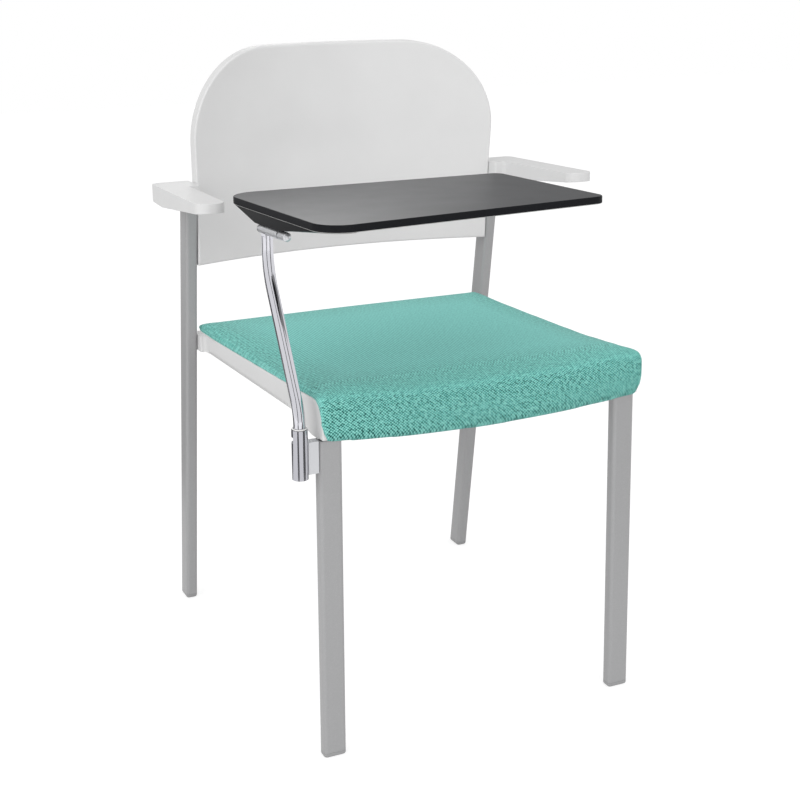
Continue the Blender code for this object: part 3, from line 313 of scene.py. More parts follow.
def moulded_polypropylene():
    """Pale grey polypropylene from a spark-eroded mould: soft satin, fine grit, faint flow marks."""
    material, tree, shader, spot = coat("moulded_polypropylene", 0.52, IOR=1.49, Specular_IOR_Level=0.06)
    flow = add(tree, "ShaderNodeTexNoise", {"Vector": spot, "Scale": 1 / (90 * MM), "Detail": 3.0})
    colour = add(tree, "ShaderNodeValToRGB", {"Fac": flow.outputs["Fac"]},
                 ((0.3, "DFDFDF"), (0.7, "E3E3E3")))
    tree.links.new(colour.outputs["Color"], shader.inputs["Base Color"])
    grit = add(tree, "ShaderNodeTexNoise", {"Vector": spot, "Scale": 1 / (0.9 * MM), "Detail": 1.0})
    bump = add(tree, "ShaderNodeBump", {"Height": grit.outputs["Fac"], "Strength": 0.06,
                                        "Distance": 0.05 * MM})
    tree.links.new(bump.outputs["Normal"], shader.inputs["Normal"])
    return material


def chrome_plate(name, tone):
    """Polished chrome on steel: mirror with a breath of wiping haze."""
    material, tree, shader, spot = coat(name, 0.07, Metallic=1.0, Base_Color=linear(tone))
    haze = add(tree, "ShaderNodeTexNoise", {"Vector": spot, "Scale": 1 / (14 * MM), "Detail": 4.0})
    gloss = add(tree, "ShaderNodeMapRange", {"Value": haze.outputs["Fac"], "To Min": 0.05, "To Max": 0.12})
    tree.links.new(gloss.outputs["Result"], shader.inputs["Roughness"])
    return material


def satin_chrome():
    """Chrome over a blasted base: soft grey sheen without sharp reflections."""
    material, tree, shader, spot = coat("satin_chrome", 0.38, Metallic=0.8, Base_Color=linear("DADBDE"))
    blast = add(tree, "ShaderNodeTexNoise", {"Vector": spot, "Scale": 1 / (0.8 * MM), "Detail": 2.0})
    gloss = add(tree, "ShaderNodeMapRange", {"Value": blast.outputs["Fac"], "To Min": 0.34, "To Max": 0.46})
    tree.links.new(gloss.outputs["Result"], shader.inputs["Roughness"])
    return material


def zinc_plate():
    """Bright zinc on steel fasteners and rails: blue-white, dull and slightly mottled."""
    material, tree, shader, spot = coat("zinc_plate", 0.34, Metallic=1.0)
    mottle = add(tree, "ShaderNodeTexNoise", {"Vector": spot, "Scale": 1 / (6 * MM), "Detail": 5.0})
    colour = add(tree, "ShaderNodeValToRGB", {"Fac": mottle.outputs["Fac"]},
                 ((0.3, "B4B7BB"), (0.7, "C9CBCE")))
    tree.links.new(colour.outputs["Color"], shader.inputs["Base Color"])
    gloss = add(tree, "ShaderNodeMapRange", {"Value": mottle.outputs["Fac"], "To Min": 0.26, "To Max": 0.42})
    tree.links.new(gloss.outputs["Result"], shader.inputs["Roughness"])
    return material


def turned_nylon():
    """White nylon turned on a lathe: waxy, with fine rings from the tool."""
    material, tree, shader, spot = coat("turned_nylon", 0.42, IOR=1.53, Subsurface_Weight=0.1,
                                        Subsurface_Radius=(2 * MM, 2 * MM, 2 * MM))
    rings = add(tree, "ShaderNodeTexWave", {"Vector": spot, "Scale": 1 / (6 * MM)}, bands_direction="Z")
    colour = add(tree, "ShaderNodeValToRGB", {"Fac": rings.outputs["Fac"]},
                 ((0.0, "E9E9E8"), (1.0, "F1F1F0")))
    tree.links.new(colour.outputs["Color"], shader.inputs["Base Color"])
    return material


def moulded_black_abs():
    """Black ABS moulding: satin, with a fine grit that softens its glints."""
    material, tree, shader, spot = coat("moulded_black_abs", 0.32, IOR=1.53, Specular_IOR_Level=0.11)
    grit = add(tree, "ShaderNodeTexNoise", {"Vector": spot, "Scale": 1 / (1.1 * MM), "Detail": 2.0})
    colour = add(tree, "ShaderNodeValToRGB", {"Fac": grit.outputs["Fac"]},
                 ((0.3, "121315"), (0.7, "18191C")))
    tree.links.new(colour.outputs["Color"], shader.inputs["Base Color"])
    bump = add(tree, "ShaderNodeBump", {"Height": grit.outputs["Fac"], "Strength": 0.08,
                                        "Distance": 0.05 * MM})
    tree.links.new(bump.outputs["Normal"], shader.inputs["Normal"])
    return material


def moulded_grey_nylon():
    """Nylon foot moulded in the frame's grey: a touch more matt than the paint, scuffed at the floor."""
    material, tree, shader, spot = coat("moulded_grey_nylon", 0.45, IOR=1.53)
    height = add(tree, "ShaderNodeSeparateXYZ", {"Vector": spot}).outputs["Z"]
    scuff = add(tree, "ShaderNodeTexNoise", {"Vector": spot, "Scale": 1 / (2 * MM), "Detail": 4.0})
    rubbed = add(tree, "ShaderNodeMapRange", {"Value": height, "From Min": 3 * MM, "From Max": 0.0})
    worn = add(tree, "ShaderNodeMath", {0: scuff.outputs["Fac"], 1: rubbed.outputs["Result"]},
               operation="MULTIPLY")
    colour = add(tree, "ShaderNodeValToRGB", {"Fac": worn.outputs["Value"]},
                 ((0.0, "A4A4A5"), (0.8, "8E8E8F")))
    tree.links.new(colour.outputs["Color"], shader.inputs["Base Color"])
    return material


def compact_laminate():
    """Solid black laminate pressed against a fine pearl plate: semi-gloss, grey where light grazes it."""
    material, tree, shader, spot = coat("compact_laminate", 0.37, IOR=1.55, Specular_IOR_Level=0.5)
    pearl = add(tree, "ShaderNodeTexVoronoi", {"Vector": spot, "Scale": 1 / (1.2 * MM)})  # coarser, to show
    colour = add(tree, "ShaderNodeValToRGB", {"Fac": pearl.outputs["Distance"]},
                 ((0.0, "26282D"), (0.8, "1E2025")))
    tree.links.new(colour.outputs["Color"], shader.inputs["Base Color"])
    wear = add(tree, "ShaderNodeTexNoise", {"Vector": spot, "Scale": 1 / (45 * MM), "Detail": 5.0})
    gloss = add(tree, "ShaderNodeMapRange", {"Value": wear.outputs["Fac"], "To Min": 0.34, "To Max": 0.41})
    tree.links.new(gloss.outputs["Result"], shader.inputs["Roughness"])
    bump = add(tree, "ShaderNodeBump", {"Height": pearl.outputs["Distance"], "Strength": 0.04,
                                        "Distance": 0.05 * MM})
    tree.links.new(bump.outputs["Normal"], shader.inputs["Normal"])
    return material


def sawn_laminate():
    """Edge of the board: black core, sawn and sanded, so dull, with fine marks along the cut."""
    material, tree, shader, spot = coat("sawn_laminate", 0.5, IOR=1.55, Specular_IOR_Level=0.08)
    marks = add(tree, "ShaderNodeTexNoise", {"Vector": spot, "Scale": 1 / (1.5 * MM), "Detail": 3.0})
    colour = add(tree, "ShaderNodeValToRGB", {"Fac": marks.outputs["Fac"]},
                 ((0.3, "151619"), (0.7, "1D1E21")))
    tree.links.new(colour.outputs["Color"], shader.inputs["Base Color"])
    return material


def backing_sheet():
    """Underside of the board: pale grey balancing sheet, pressed dull, with a faint paper mottle."""
    material, tree, shader, spot = coat("backing_sheet", 0.55, IOR=1.5, Specular_IOR_Level=0.3)
    mottle = add(tree, "ShaderNodeTexNoise", {"Vector": spot, "Scale": 1 / (8 * MM), "Detail": 5.0})
    colour = add(tree, "ShaderNodeValToRGB", {"Fac": mottle.outputs["Fac"]},
                 ((0.3, "B8B8B7"), (0.7, "C4C4C3")))
    tree.links.new(colour.outputs["Color"], shader.inputs["Base Color"])
    return material


def pearl_weave():
    """Teal polyester in a pearl weave: plump knots set cornerwise with painted highlight on their light tops,
    and pores of painted shade that open where it is stretched and on faces turned forward. The tight weave on
    the flat of the top is painted lighter to make up for the board's shade.
    """
    knot = 2.9 * MM     # 2.6 in the cloth, coarser here so that it shows
    rib = 3.6 * MM
    material, tree, shader, _ = coat("pearl_weave", 0.9, Specular_IOR_Level=0.2, Sheen_Weight=0.05,
                                     Sheen_Roughness=0.5)
    cover = add(tree, "ShaderNodeAttribute", attribute_name="cover").outputs["Vector"]
    stretch_and_pore_shade = add(tree, "ShaderNodeAttribute", attribute_name="stretch_and_pore_shade").outputs["Fac"]
    cornerwise = add(tree, "ShaderNodeMapping", {"Vector": cover, "Rotation": (0, 0, math.pi / 4),
                                                 "Scale": (1, 1.15, 1)})
    knots = add(tree, "ShaderNodeTexVoronoi", {"Vector": cornerwise.outputs["Vector"], "Scale": 1 / knot,
                                               "Randomness": 0.18}, voronoi_dimensions="2D")
    slack = add(tree, "ShaderNodeTexNoise", {"Vector": cover, "Scale": 1 / (4 * MM), "Detail": 3.0},
                noise_dimensions="2D")
    uneven = add(tree, "ShaderNodeMapRange", {"Value": slack.outputs["Fac"], "From Min": 0.3, "From Max": 0.7,
                                              "To Min": -0.14, "To Max": 0.14})
    fall = add(tree, "ShaderNodeMath", {0: knots.outputs["Distance"], 1: uneven.outputs["Result"]},
               operation="ADD")
    # open weave: painted highlight on the knots' light tops, painted shade in the dark pores
    open_weave_and_painted_shading = add(tree, "ShaderNodeValToRGB", {"Fac": fall.outputs["Value"]},
                     ((0.0, "A2E4DB"), (0.28, "86D0C6"), (0.42, "62B1A7"), (0.53, "367F77"),
                      (0.64, "0A322E")))
    ribs = add(tree, "ShaderNodeTexWave", {"Vector": cover, "Scale": math.pi / 10 / rib})
    # tight weave of the top: ribs, their tones painted lighter to make up for the board's shade
    tight_weave_and_painted_light = add(tree, "ShaderNodeValToRGB", {"Fac": ribs.outputs["Fac"]},
                      ((0.0, "6CC2B9"), (1.0, "A0F2EA")))
    # painted-lighter tight weave, turning to the open weave with its painted highlights and pore shade where
    # the cover is stretched and on faces turned forward
    yarn_and_painted_light = add(tree, "ShaderNodeMix", {"Factor": stretch_and_pore_shade, "A": tight_weave_and_painted_light.outputs["Color"],
                                       "B": open_weave_and_painted_shading.outputs["Color"]}, data_type="RGBA")
    tree.links.new(yarn_and_painted_light.outputs["Result"], shader.inputs["Base Color"])
    height = add(tree, "ShaderNodeMath", {0: 1.0, 1: knots.outputs["Distance"]}, operation="SUBTRACT")
    bump = add(tree, "ShaderNodeBump", {"Height": height.outputs["Value"], "Strength": 0.5,
                                        "Distance": 0.5 * MM})
    tree.links.new(bump.outputs["Normal"], shader.inputs["Normal"])
    return material


PAINT = powder_coated_steel()
PLASTIC = moulded_polypropylene()
CHROME = chrome_plate("chrome_plate", "D2D2D8")
# the same chrome in a darker tone, for the sleeve
DARKER_CHROME = chrome_plate("darker_chrome_plate", "B6B6BC")
SATIN = satin_chrome()
ZINC = zinc_plate()
NYLON = turned_nylon()
BLACK = moulded_black_abs()
LAMINATE = compact_laminate()
LAMINATE_EDGE = sawn_laminate()
BACKING = backing_sheet()
FABRIC = pearl_weave()
PAINTED_NYLON = moulded_grey_nylon()


# Shape tools
def in_scene(name, data):
    """New object in the scene."""
    item = bpy.data.objects.new(name, data)
    bpy.context.scene.collection.objects.link(item)
    return item


def from_shape(name, bm):
    """New object that holds a shape, which is used up."""
    mesh = bpy.data.meshes.new(name)
    bm.to_mesh(mesh)
    bm.free()
    return in_scene(name, mesh)


def made(name, bm, finish, body, slot, *nodes, wall=0.0, edge=0.0, sharp=40):
    """Piece from a shape: given its wall, edges eased, shaded, and set on its body in place of its nodes."""
    item = from_shape(name, bm)
    item.data.materials.append(finish)
    item.data.shade_smooth()
    item.data.set_sharp_from_angle(angle=math.radians(sharp))
    if wall:
        skin = item.modifiers.new("wall", "SOLIDIFY")
        skin.thickness = wall
        skin.offset = -1
    if edge:
        rounding = item.modifiers.new("eased edges", "BEVEL")
        rounding.width = edge
        rounding.segments = 2
        rounding.limit_method = "ANGLE"
        rounding.angle_limit = math.radians(sharp)
    normals = item.modifiers.new("flat faces stay flat", "WEIGHTED_NORMAL")
    normals.keep_sharp = True
    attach(item, body)
    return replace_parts(item, *nodes)


def closed(bm):
    """Weld a shape and turn its faces outwards."""
    bmesh.ops.remove_doubles(bm, verts=bm.verts, dist=1e-6)
    bmesh.ops.recalc_face_normals(bm, faces=bm.faces)
    return bm


def only(kind, parts):
    """Parts of one kind, out of what an operator made."""
    return [part for part in parts if isinstance(part, kind)]


def creases(bm, degrees):
    """Edges at which faces turn by more than this."""
    return [edge for edge in bm.edges if edge.calc_face_angle(0) > math.radians(degrees)]


def level(edge):
    """Whether both ends of an edge have the same z."""
    return abs(edge.verts[0].co.z - edge.verts[1].co.z) < GAP


def soften(bm, edges, radius, segments=4):
    """Round these edges."""
    bmesh.ops.bevel(bm, geom=edges, offset=radius, offset_type="OFFSET", segments=segments, profile=0.5,
                    affect="EDGES", clamp_overlap=True, material=-1)


def outline(corners, steps=10):
    """Flat face through (x, y, radius) corners, each corner rounded."""
    bm = bmesh.new()
    verts = [bm.verts.new((x, y, 0)) for x, y, radius in corners]
    bm.faces.new(verts)
    for vert, (x, y, radius) in zip(verts, corners):
        if radius:
            one, other = [edge.other_vert(vert).co - vert.co for edge in vert.link_edges]
            setback = radius / math.tan(one.angle(other) / 2)
            bmesh.ops.bevel(bm, geom=[vert], offset=setback, segments=steps, profile=0.5, affect="VERTICES",
                            material=-1)
    return bm


def thicken(bm, depth):
    """Extrude a flat face up into a slab."""
    grown = bmesh.ops.extrude_face_region(bm, geom=bm.faces[:])["geom"]
    bmesh.ops.translate(bm, verts=only(BMVert, grown), vec=(0, 0, depth))
    return closed(bm)


def block(low, high):
    """Box between two corners."""
    bm = bmesh.new()
    low, high = Vector(low), Vector(high)
    size = Matrix.Diagonal((*(high - low), 1))
    bmesh.ops.create_cube(bm, size=1, matrix=Matrix.Translation((low + high) / 2) @ size)
    return bm


def placed(bm, place):
    """Shape moved to its place."""
    bmesh.ops.transform(bm, matrix=place, verts=bm.verts)
    return bm


def sliced(bm, spot, facing=(0, 0, 1), **cleared):
    """Cut through all of a shape at a plane, and clear one side of it if asked."""
    everything = bm.verts[:] + bm.edges[:] + bm.faces[:]
    bmesh.ops.bisect_plane(bm, geom=everything, plane_co=spot, plane_no=facing, **cleared)


def carve(bm, tool, operation="DIFFERENCE"):
    """Boolean of a shape with a tool body; both are used up."""
    items = [from_shape("shape", shape) for shape in (bm, tool)]
    cut = items[0].modifiers.new("cut", "BOOLEAN")
    cut.operation = operation
    cut.solver = "EXACT"
    cut.object = items[1]
    result = bmesh.new()
    result.from_object(items[0], bpy.context.evaluated_depsgraph_get())
    for item in items:
        mesh = item.data
        bpy.data.objects.remove(item)
        bpy.data.meshes.remove(mesh)
    return result


def turned(profile, place, steps=64):
    """Solid turned about z from a closed ring of (radius, z) points, or one that ends on the axis."""
    bm = bmesh.new()
    verts = [bm.verts.new((radius, 0, z)) for radius, z in profile]
    on_axis = profile[0][0] == 0 and profile[-1][0] == 0
    pairs = list(zip(verts, verts[1:])) + ([] if on_axis else [(verts[-1], verts[0])])
    edges = [bm.edges.new(pair) for pair in pairs]
    bmesh.ops.spin(bm, geom=verts + edges, axis=(0, 0, 1), cent=(0, 0, 0), angle=2 * math.pi, steps=steps,
                   use_merge=True)
    return placed(closed(bm), place)


def copied(node):
    """Shape of a CAD node, its loose triangles welded and its flat faces made whole."""
    bm = bmesh.new()
    bm.from_mesh(bpy.data.objects[node].data)
    bmesh.ops.remove_doubles(bm, verts=bm.verts, dist=1e-6)
    bmesh.ops.dissolve_limit(bm, angle_limit=math.radians(0.5), verts=bm.verts, edges=bm.edges)
    return bm


def eased(share):
    """0 to 1 with soft ends."""
    share = min(1.0, max(0.0, share))
    return share * share * (3 - 2 * share)


# Legs and feet
def leg_bar(foot, top, size, low, high):
    """Round-cornered bar along a leg's line, cut level at two heights and open there."""
    line = top - foot
    z = line.normalized()
    y = z.cross(Vector((1, 0, 0))).normalized()
    turn = Matrix((y.cross(z), y, z)).transposed().to_4x4()
    bm = bmesh.new()
    bmesh.ops.create_cube(bm, size=1, matrix=Matrix.Diagonal((*size, line.length * 1.2, 1)))
    upright = [edge for edge in bm.edges if edge.calc_length() > line.length]
    soften(bm, upright, TUBE_CORNER, 6)
    placed(bm, Matrix.Translation((foot + top) / 2) @ turn)
    sliced(bm, (0, 0, low), clear_inner=True)
    sliced(bm, (0, 0, high), clear_outer=True)
    return bm


def leg(name, foot, top, size, capped):
    """Tube, its top closed or not, and the glide that closes its foot."""
    bm = leg_bar(foot, top, size, GLIDE_HEIGHT, top.z)
    if capped:
        bmesh.ops.edgeloop_fill(bm, edges=[edge for edge in bm.edges if edge.is_boundary
                                           and edge.verts[0].co.z > GLIDE_HEIGHT + GAP])
    made(name + "_tube", closed(bm), PAINT, "chair", "grey_paint", name + "_leg", wall=TUBE_WALL)
    bm = leg_bar(foot, top, size, 0, GLIDE_HEIGHT - GAP)
    bmesh.ops.holes_fill(bm, edges=bm.edges)
    closed(bm)
    cap = max(bm.faces, key=lambda face: face.normal.z)
    bmesh.ops.inset_individual(bm, faces=[cap], thickness=TUBE_WALL + GAP)
    stem = bmesh.ops.extrude_discrete_faces(bm, faces=[cap])["faces"]
    bmesh.ops.translate(bm, verts=stem[0].verts, vec=(top - foot) * (GLIDE_STEM / top.z))
    underside = [edge for edge in bm.edges if max(vert.co.z for vert in edge.verts) < GAP]
    soften(bm, underside, GLIDE_ROUND, 5)
    made(name + "_foot", bm, PAINTED_NYLON, "chair", "grey_plastic", name + "_glide")


def legs():
    """Upright front legs and raked rear legs."""
    for side, word in SIDES:
        low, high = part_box("front_" + word + "_glide")
        reach = max(abs(low.x), abs(high.x)) - TUBE_WIDE / 2
        foot = Vector((side * reach, low.y + TUBE_NARROW / 2, 0))
        top = foot + Vector((-side * FRONT_SPLAY_OUT, FRONT_SPLAY_FORWARD, 0))
        top.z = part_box("front_" + word + "_leg")[1].z
        leg("front_" + word, foot, top, (TUBE_WIDE, TUBE_NARROW), True)
        foot = Vector((side * REAR_FOOT.x, REAR_FOOT.y, 0))
        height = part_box("rear_" + word + "_leg")[1].z
        top = Vector((foot.x, rear_leg_y(height), height))
        leg("rear_" + word, foot, top, (TUBE_NARROW, TUBE_WIDE), False)


def rear_leg_y(height):
    """Middle of the raked rear leg at a height."""
    return REAR_FOOT.y - height * math.tan(REAR_RAKE)


# Seat
def seat_pan():
    """Moulded pan: rolled front, skirts whose lower edges roll in, an ear against each rear leg."""
    top = -PAD_EDGE - GAP
    front = PAD_EDGE + GAP
    low = top - PAN_SKIRT
    lip = -PAD_LIP_DROP + GAP
    half = SEAT_WIDTH / 2
    across = SEAT @ Matrix(((0, 0, 1, -half), (1, 0, 0, 0), (0, 1, 0, 0), (0, 0, 0, 1)))
    side = [(SEAT_DEPTH, low, 0), (SEAT_DEPTH, top, PAN_REAR_ROUND), (front, top, PAN_BEND),
            (front, lip, PAN_FOOT_ROUND), (front + PAN_BEND, lip, PAN_HEEL_ROUND),
            (front + PAN_CHEEK, low, PAN_CHEEK_ROUND)]
    bm = thicken(outline(side), SEAT_WIDTH)
    fronts = [edge for edge in bm.edges if level(edge) and edge.calc_length() > PAN_BEND / 4
              and max(vert.co.x for vert in edge.verts) < front + PAN_BEND * 0.9]
    soften(bm, fronts, PAN_WALL)
    roll = PAN_ROLL / (math.sin(ROLL_END) - math.sin(ROLL_START))
    turns = [ROLL_START + (ROLL_END - ROLL_START) * i / ROLL_STEPS for i in range(1, ROLL_STEPS + 1)]
    insets = [roll * (math.cos(ROLL_START) - math.cos(turn)) for turn in turns]
    cuts = [((0, 0, z), (0, 0, 1)) for inset in insets for z in (inset, SEAT_WIDTH - inset)]
    cuts += [((front + PAN_CHEEK + i * PAN_ROLL / 2, 0, 0), (1, 0, 0)) for i in range(1, 7)]
    for spot, facing in cuts:
        sliced(bm, spot, facing)
    for vert in bm.verts:
        inset = min(vert.co.z, SEAT_WIDTH - vert.co.z)
        if vert.co.y < low + GAP and inset < insets[-1]:
            turn = math.acos(math.cos(ROLL_START) - inset / roll)
            fade = eased((vert.co.x - front - PAN_CHEEK + PAN_ROLL) / (4 * PAN_ROLL))
            vert.co.y += roll * (math.sin(ROLL_END) - math.sin(turn)) * fade
    ear_end = SEAT_DEPTH + PAN_EAR_BEHIND
    ear_start = ear_end - PAN_EAR_LENGTH
    for sign in (-1, 1):
        profile = [(front + RIM_RUN, top - PAN_WALL, 0), (front + RIM_RUN, top - GAP, 0),
                   (front - RIM_FORWARD, top + RIM_PROUD, PAN_BEND),
                   (front - RIM_FORWARD, lip + GAP, RIM_ROUND / 2), (front + PAN_WALL, lip + GAP, 0),
                   (front + PAN_WALL, top - PAN_WALL, PAN_BEND / 2)]
        rim = thicken(outline(profile), RIM_THICK)
        outside = 0 if sign < 0 else RIM_THICK
        shoulder = []
        for edge in rim.edges:
            middle = (edge.verts[0].co + edge.verts[1].co) / 2
            if abs(middle.z - outside) < GAP and (middle.y > top - GAP or middle.x < front - PAN_WALL):
                shoulder.append(edge)
        soften(rim, shoulder, RIM_ROUND, 5)
        beside = 0 if sign < 0 else SEAT_WIDTH - RIM_THICK
        bm = carve(bm, placed(rim, Matrix.Translation((0, 0, beside))), "UNION")
        root, skin, out = -2 * PAN_WALL, 0.0, PAN_EAR_REACH - GAP
        neck = ear_start - PAN_EAR_NECK * 1.5
        plan = [(ear_end, root, 0), (ear_end, out, PAN_EAR_REAR_ROUND), (ear_start, out, PAN_EAR_FRONT_ROUND),
                (ear_start, skin, PAN_EAR_NECK), (neck, skin, 0), (neck, root, 0)]
        ear = thicken(outline(plan), PAN_EAR_HEIGHT - GAP)
        soften(ear, [edge for edge in ear.edges if level(edge)
                     and min(vert.co.y for vert in edge.verts) > GAP], PAN_EAR_EDGE_ROUND, 3)
        stand = Matrix(((1, 0, 0, 0), (0, 0, 1, top - PAN_EAR_HEIGHT), (0, sign, 0, half + sign * half),
                        (0, 0, 0, 1)))
        bm = carve(bm, closed(placed(ear, stand)), "UNION")
    inner_top = top - PAN_WALL
    beyond = SEAT_DEPTH + PAN_SKIRT
    for inset, floor in ((insets[-1], lip - PAN_SKIRT), (PAN_WALL, low + PAN_ROLL)):
        hollow = outline([(beyond, floor, 0), (beyond, inner_top, 0),
                          (front + PAN_WALL, inner_top, PAN_BEND - PAN_WALL), (front + PAN_WALL, floor, 0)])
        tool = placed(thicken(hollow, SEAT_WIDTH - 2 * inset), Matrix.Translation((0, 0, inset)))
        bm = carve(bm, tool)
    room = RAIL_WIDTH / 2 + GAP
    rail_y = SEAT_DEPTH - RAIL_WIDTH / 2
    reach = PAN_EAR_REACH - PAN_WALL / 2
    passage = block((rail_y - room, inner_top - RAIL_HEIGHT - 2 * GAP, -reach),
                    (rail_y + room, inner_top, SEAT_WIDTH + reach))
    bm = carve(bm, passage)
    made("pan", placed(bm, across), PLASTIC, "chair", "white_plastic", "seat_pan", edge=PAN_EDGE_ROUND,
         sharp=35)


def before_rim(spot):
    """How far a spot of the seat stands above or before the edge of the pan's rim."""
    front = PAD_EDGE + GAP - RIM_FORWARD
    top = RIM_PROUD * max(0.0, 1 - spot.y / RIM_RUN) - PAD_EDGE
    ahead = max(0.0, front + PAN_BEND - spot.y)
    above = max(0.0, spot.z - top + PAN_BEND)
    return math.hypot(ahead, above) - PAN_BEND


def stuffed(item):
    """Swell the pad's cover by a cloth simulation, its underside held, and cap how far it moves."""
    start = [vert.co.copy() for vert in item.data.vertices]
    held = item.vertex_groups.new(name="held")
    into = SEAT.inverted()
    for vert in item.data.vertices:
        lean = into.to_3x3() @ vert.normal
        if lean.z < FACES_DOWN or lean.y > FACES_BACK or (into @ vert.co).z < -PAD_LIP_DROP * 0.8:
            held.add([vert.index], 1.0, "REPLACE")
    cloth = item.modifiers.new("cover", "CLOTH")
    cloth.settings.use_pressure = True
    cloth.settings.uniform_pressure_force = COVER_PRESSURE
    cloth.settings.vertex_group_mass = "held"
    cloth.settings.effector_weights.gravity = 0
    cloth.point_cache.frame_start = 1
    cloth.point_cache.frame_end = COVER_STEPS
    scene = bpy.context.scene
    for step in range(1, COVER_STEPS + 1):
        scene.frame_set(step)
    graph = bpy.context.evaluated_depsgraph_get()
    swollen = [vert.co.copy() for vert in item.evaluated_get(graph).data.vertices]
    item.modifiers.remove(cloth)
    scene.frame_set(1)
    for vert, before, after in zip(item.data.vertices, start, swollen):
        move = after - before
        vert.co = before + move * min(1.0, PAD_SWELL / max(move.length, 1e-9))


def seat_pad():
    """Foam pad under a woven cover: remeshed from the CAD pad, stuffed and smoothed."""
    bm = bmesh.new()
    bm.from_mesh(bpy.data.objects["seat_pad"].data)
    bmesh.ops.remove_doubles(bm, verts=bm.verts, dist=1e-6)
    bm.normal_update()
    into = SEAT.inverted()
    down = SEAT.to_3x3() @ Vector((0, 0, -1))
    forward = SEAT.to_3x3() @ Vector((0, -1, 0))
    for vert in bm.verts:
        spot = into @ vert.co
        lean = into.to_3x3() @ vert.normal
        near_front = max(0.0, 1 - spot.y / PAD_CORNER_RUN)
        near_side = eased(2 * abs(spot.x) / PAD_LIP_SPAN - 1)
        if lean.z > FACES_DOWN and lean.y < FACES_BACK:
            bend = min(1.0, 2 * max(0.0, -lean.y) * max(0.0, lean.z))
            vert.co += vert.normal * (PAD_FULL + PAD_CORNER_FULL * near_front * bend)
        if lean.y < FACES_BACK:
            lip = eased(1 - spot.y / PAD_FRONT_RUN)
            vert.co += forward * PAD_FRONT_FULL * lip
            vert.co.x += math.copysign(PAD_LIP_WIDE * lip * near_side, spot.x)
        if lean.z > FACES_UP:
            vert.co -= down * PAD_CORNER_LIFT * near_front * near_side
        corner = 2 * abs(lean.x) * max(0.0, lean.y)
        vert.co += vert.normal * PAD_REAR_CORNER * corner
        if spot.z < -PAD_LIP_DROP * 0.9:
            vert.co += down * (PAD_LIP_FOOT + PAD_LIP_FULL * max(0.0, 1 - (spot.x / PAD_LIP_SPAN) ** 2))
    item = made("cushion", bm, FABRIC, "chair", "teal_fabric", "seat_pad", sharp=180)
    item.modifiers.clear()
    remesh = item.modifiers.new("even", "REMESH")
    remesh.mode = "VOXEL"
    remesh.voxel_size = PAD_MESH
    graph = bpy.context.evaluated_depsgraph_get()
    even = bpy.data.meshes.new_from_object(item.evaluated_get(graph))
    item.modifiers.remove(remesh)
    item.data = even
    stuffed(item)
    bm = bmesh.new()
    bm.from_mesh(even)
    for _ in range(COVER_SMOOTHING):
        bmesh.ops.smooth_vert(bm, verts=bm.verts, factor=0.5, use_axis_x=True, use_axis_y=True,
                              use_axis_z=True)
    for vert in bm.verts:
        spot = into @ vert.co
        free = eased((before_rim(spot) + 1 * MM) / (3 * MM))
        room = SEAT_WIDTH / 2 - RIM_THICK - GAP + free * (RIM_THICK + PAD_OVERHANG)
        spot.x = math.copysign(min(abs(spot.x), room), spot.x)
        vert.co = SEAT @ spot
    bm.to_mesh(even)
    bm.free()
    even.name = "cushion"
    even.shade_smooth()
    even.attributes.new("cover", "FLOAT_VECTOR", "POINT")
    even.attributes.new("stretch_and_pore_shade", "FLOAT", "POINT")
    cover, stretch_and_pore_shade = even.attributes["cover"], even.attributes["stretch_and_pore_shade"]
    for i, vert in enumerate(even.vertices):
        spot = into @ vert.co
        lean = into.to_3x3() @ vert.normal
        front = eased((PAD_TURN * 2 - spot.y) / PAD_TURN)
        rear = eased((spot.y - SEAT_DEPTH + PAD_TURN) / PAD_TURN)
        side = eased((abs(spot.x) - SEAT_WIDTH / 2 + PAD_TURN) / PAD_TURN) * (1 - front)
        cover.data[i].vector = (spot.x - math.copysign(min(spot.z, 0), spot.x) * side,
                                spot.y + spot.z * (front - rear), 0)
        # how far the open weave with its painted pore shade spreads: bands along the sides, front and rear
        # where the cover is stretched
        edge = max(0.0, 1 - (SEAT_WIDTH / 2 - abs(spot.x)) / WEAVE_SIDE_BAND,
                   1 - spot.y / WEAVE_FRONT_BAND, WEAVE_REAR - (SEAT_DEPTH - spot.y) / WEAVE_REAR_BAND)
        # painted shade: faces turned forward get the open weave's dark pores
        lip = min(1.0, max(0.0, -lean.y * 1.3 - 0.2))
        stretch_and_pore_shade.data[i].value = max(WEAVE_FLAT + WEAVE_EDGE * min(edge, 1.0), lip)
    soft = item.modifiers.new("soft", "SUBSURF")
    soft.levels = 1
    soft.render_levels = 1
    item.visible_diffuse = False        # the studio keeps its teal off the white pieces beside it


def under_frame():
    """Welded rails and spigots under the pan, and the seat's screws."""
    for node in ("front_rail", "rear_rail", "right_side_rail", "left_side_rail", "front_right_spigot",
                 "front_left_spigot"):
        made(node + "_tube", copied(node), ZINC, "chair", "zinc_steel", node, edge=RAIL_EDGE_ROUND)
    for spot in ("front", "rear"):
        for _, word in SIDES:
            screw("seat_screw_" + spot + "_" + word, SEAT, "chair")


def screw(node, tilt, body):
    """Round-headed screw with a cross recess, its head below."""
    low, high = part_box(node)
    place = Matrix.LocRotScale((low + high) / 2, tilt.to_quaternion(), None)
    half = (high.z - low.z) / 2
    rim = SCREW_HEAD_HEIGHT - half
    profile = [(0, -half)] + [(radius, -half + drop) for radius, drop in SCREW_DOME]
    profile += [(SCREW_HEAD_RADIUS, rim - SCREW_HEAD_RIM), (SCREW_HEAD_RADIUS, rim), (SCREW_RADIUS, rim),
                (SCREW_RADIUS, half - SCREW_POINT), (SCREW_POINT_RADIUS, half), (0, half)]
    bm = turned(profile, Matrix.Identity(4), 32)
    for x, y in ((RECESS_REACH, RECESS_HALF), (RECESS_HALF, RECESS_REACH)):
        bm = carve(bm, block((-x, -y, -half - RECESS_DEPTH), (x, y, -half + RECESS_DEPTH)))
    made(node + "_head", placed(bm, place), ZINC, body, "zinc_steel", node, sharp=30)


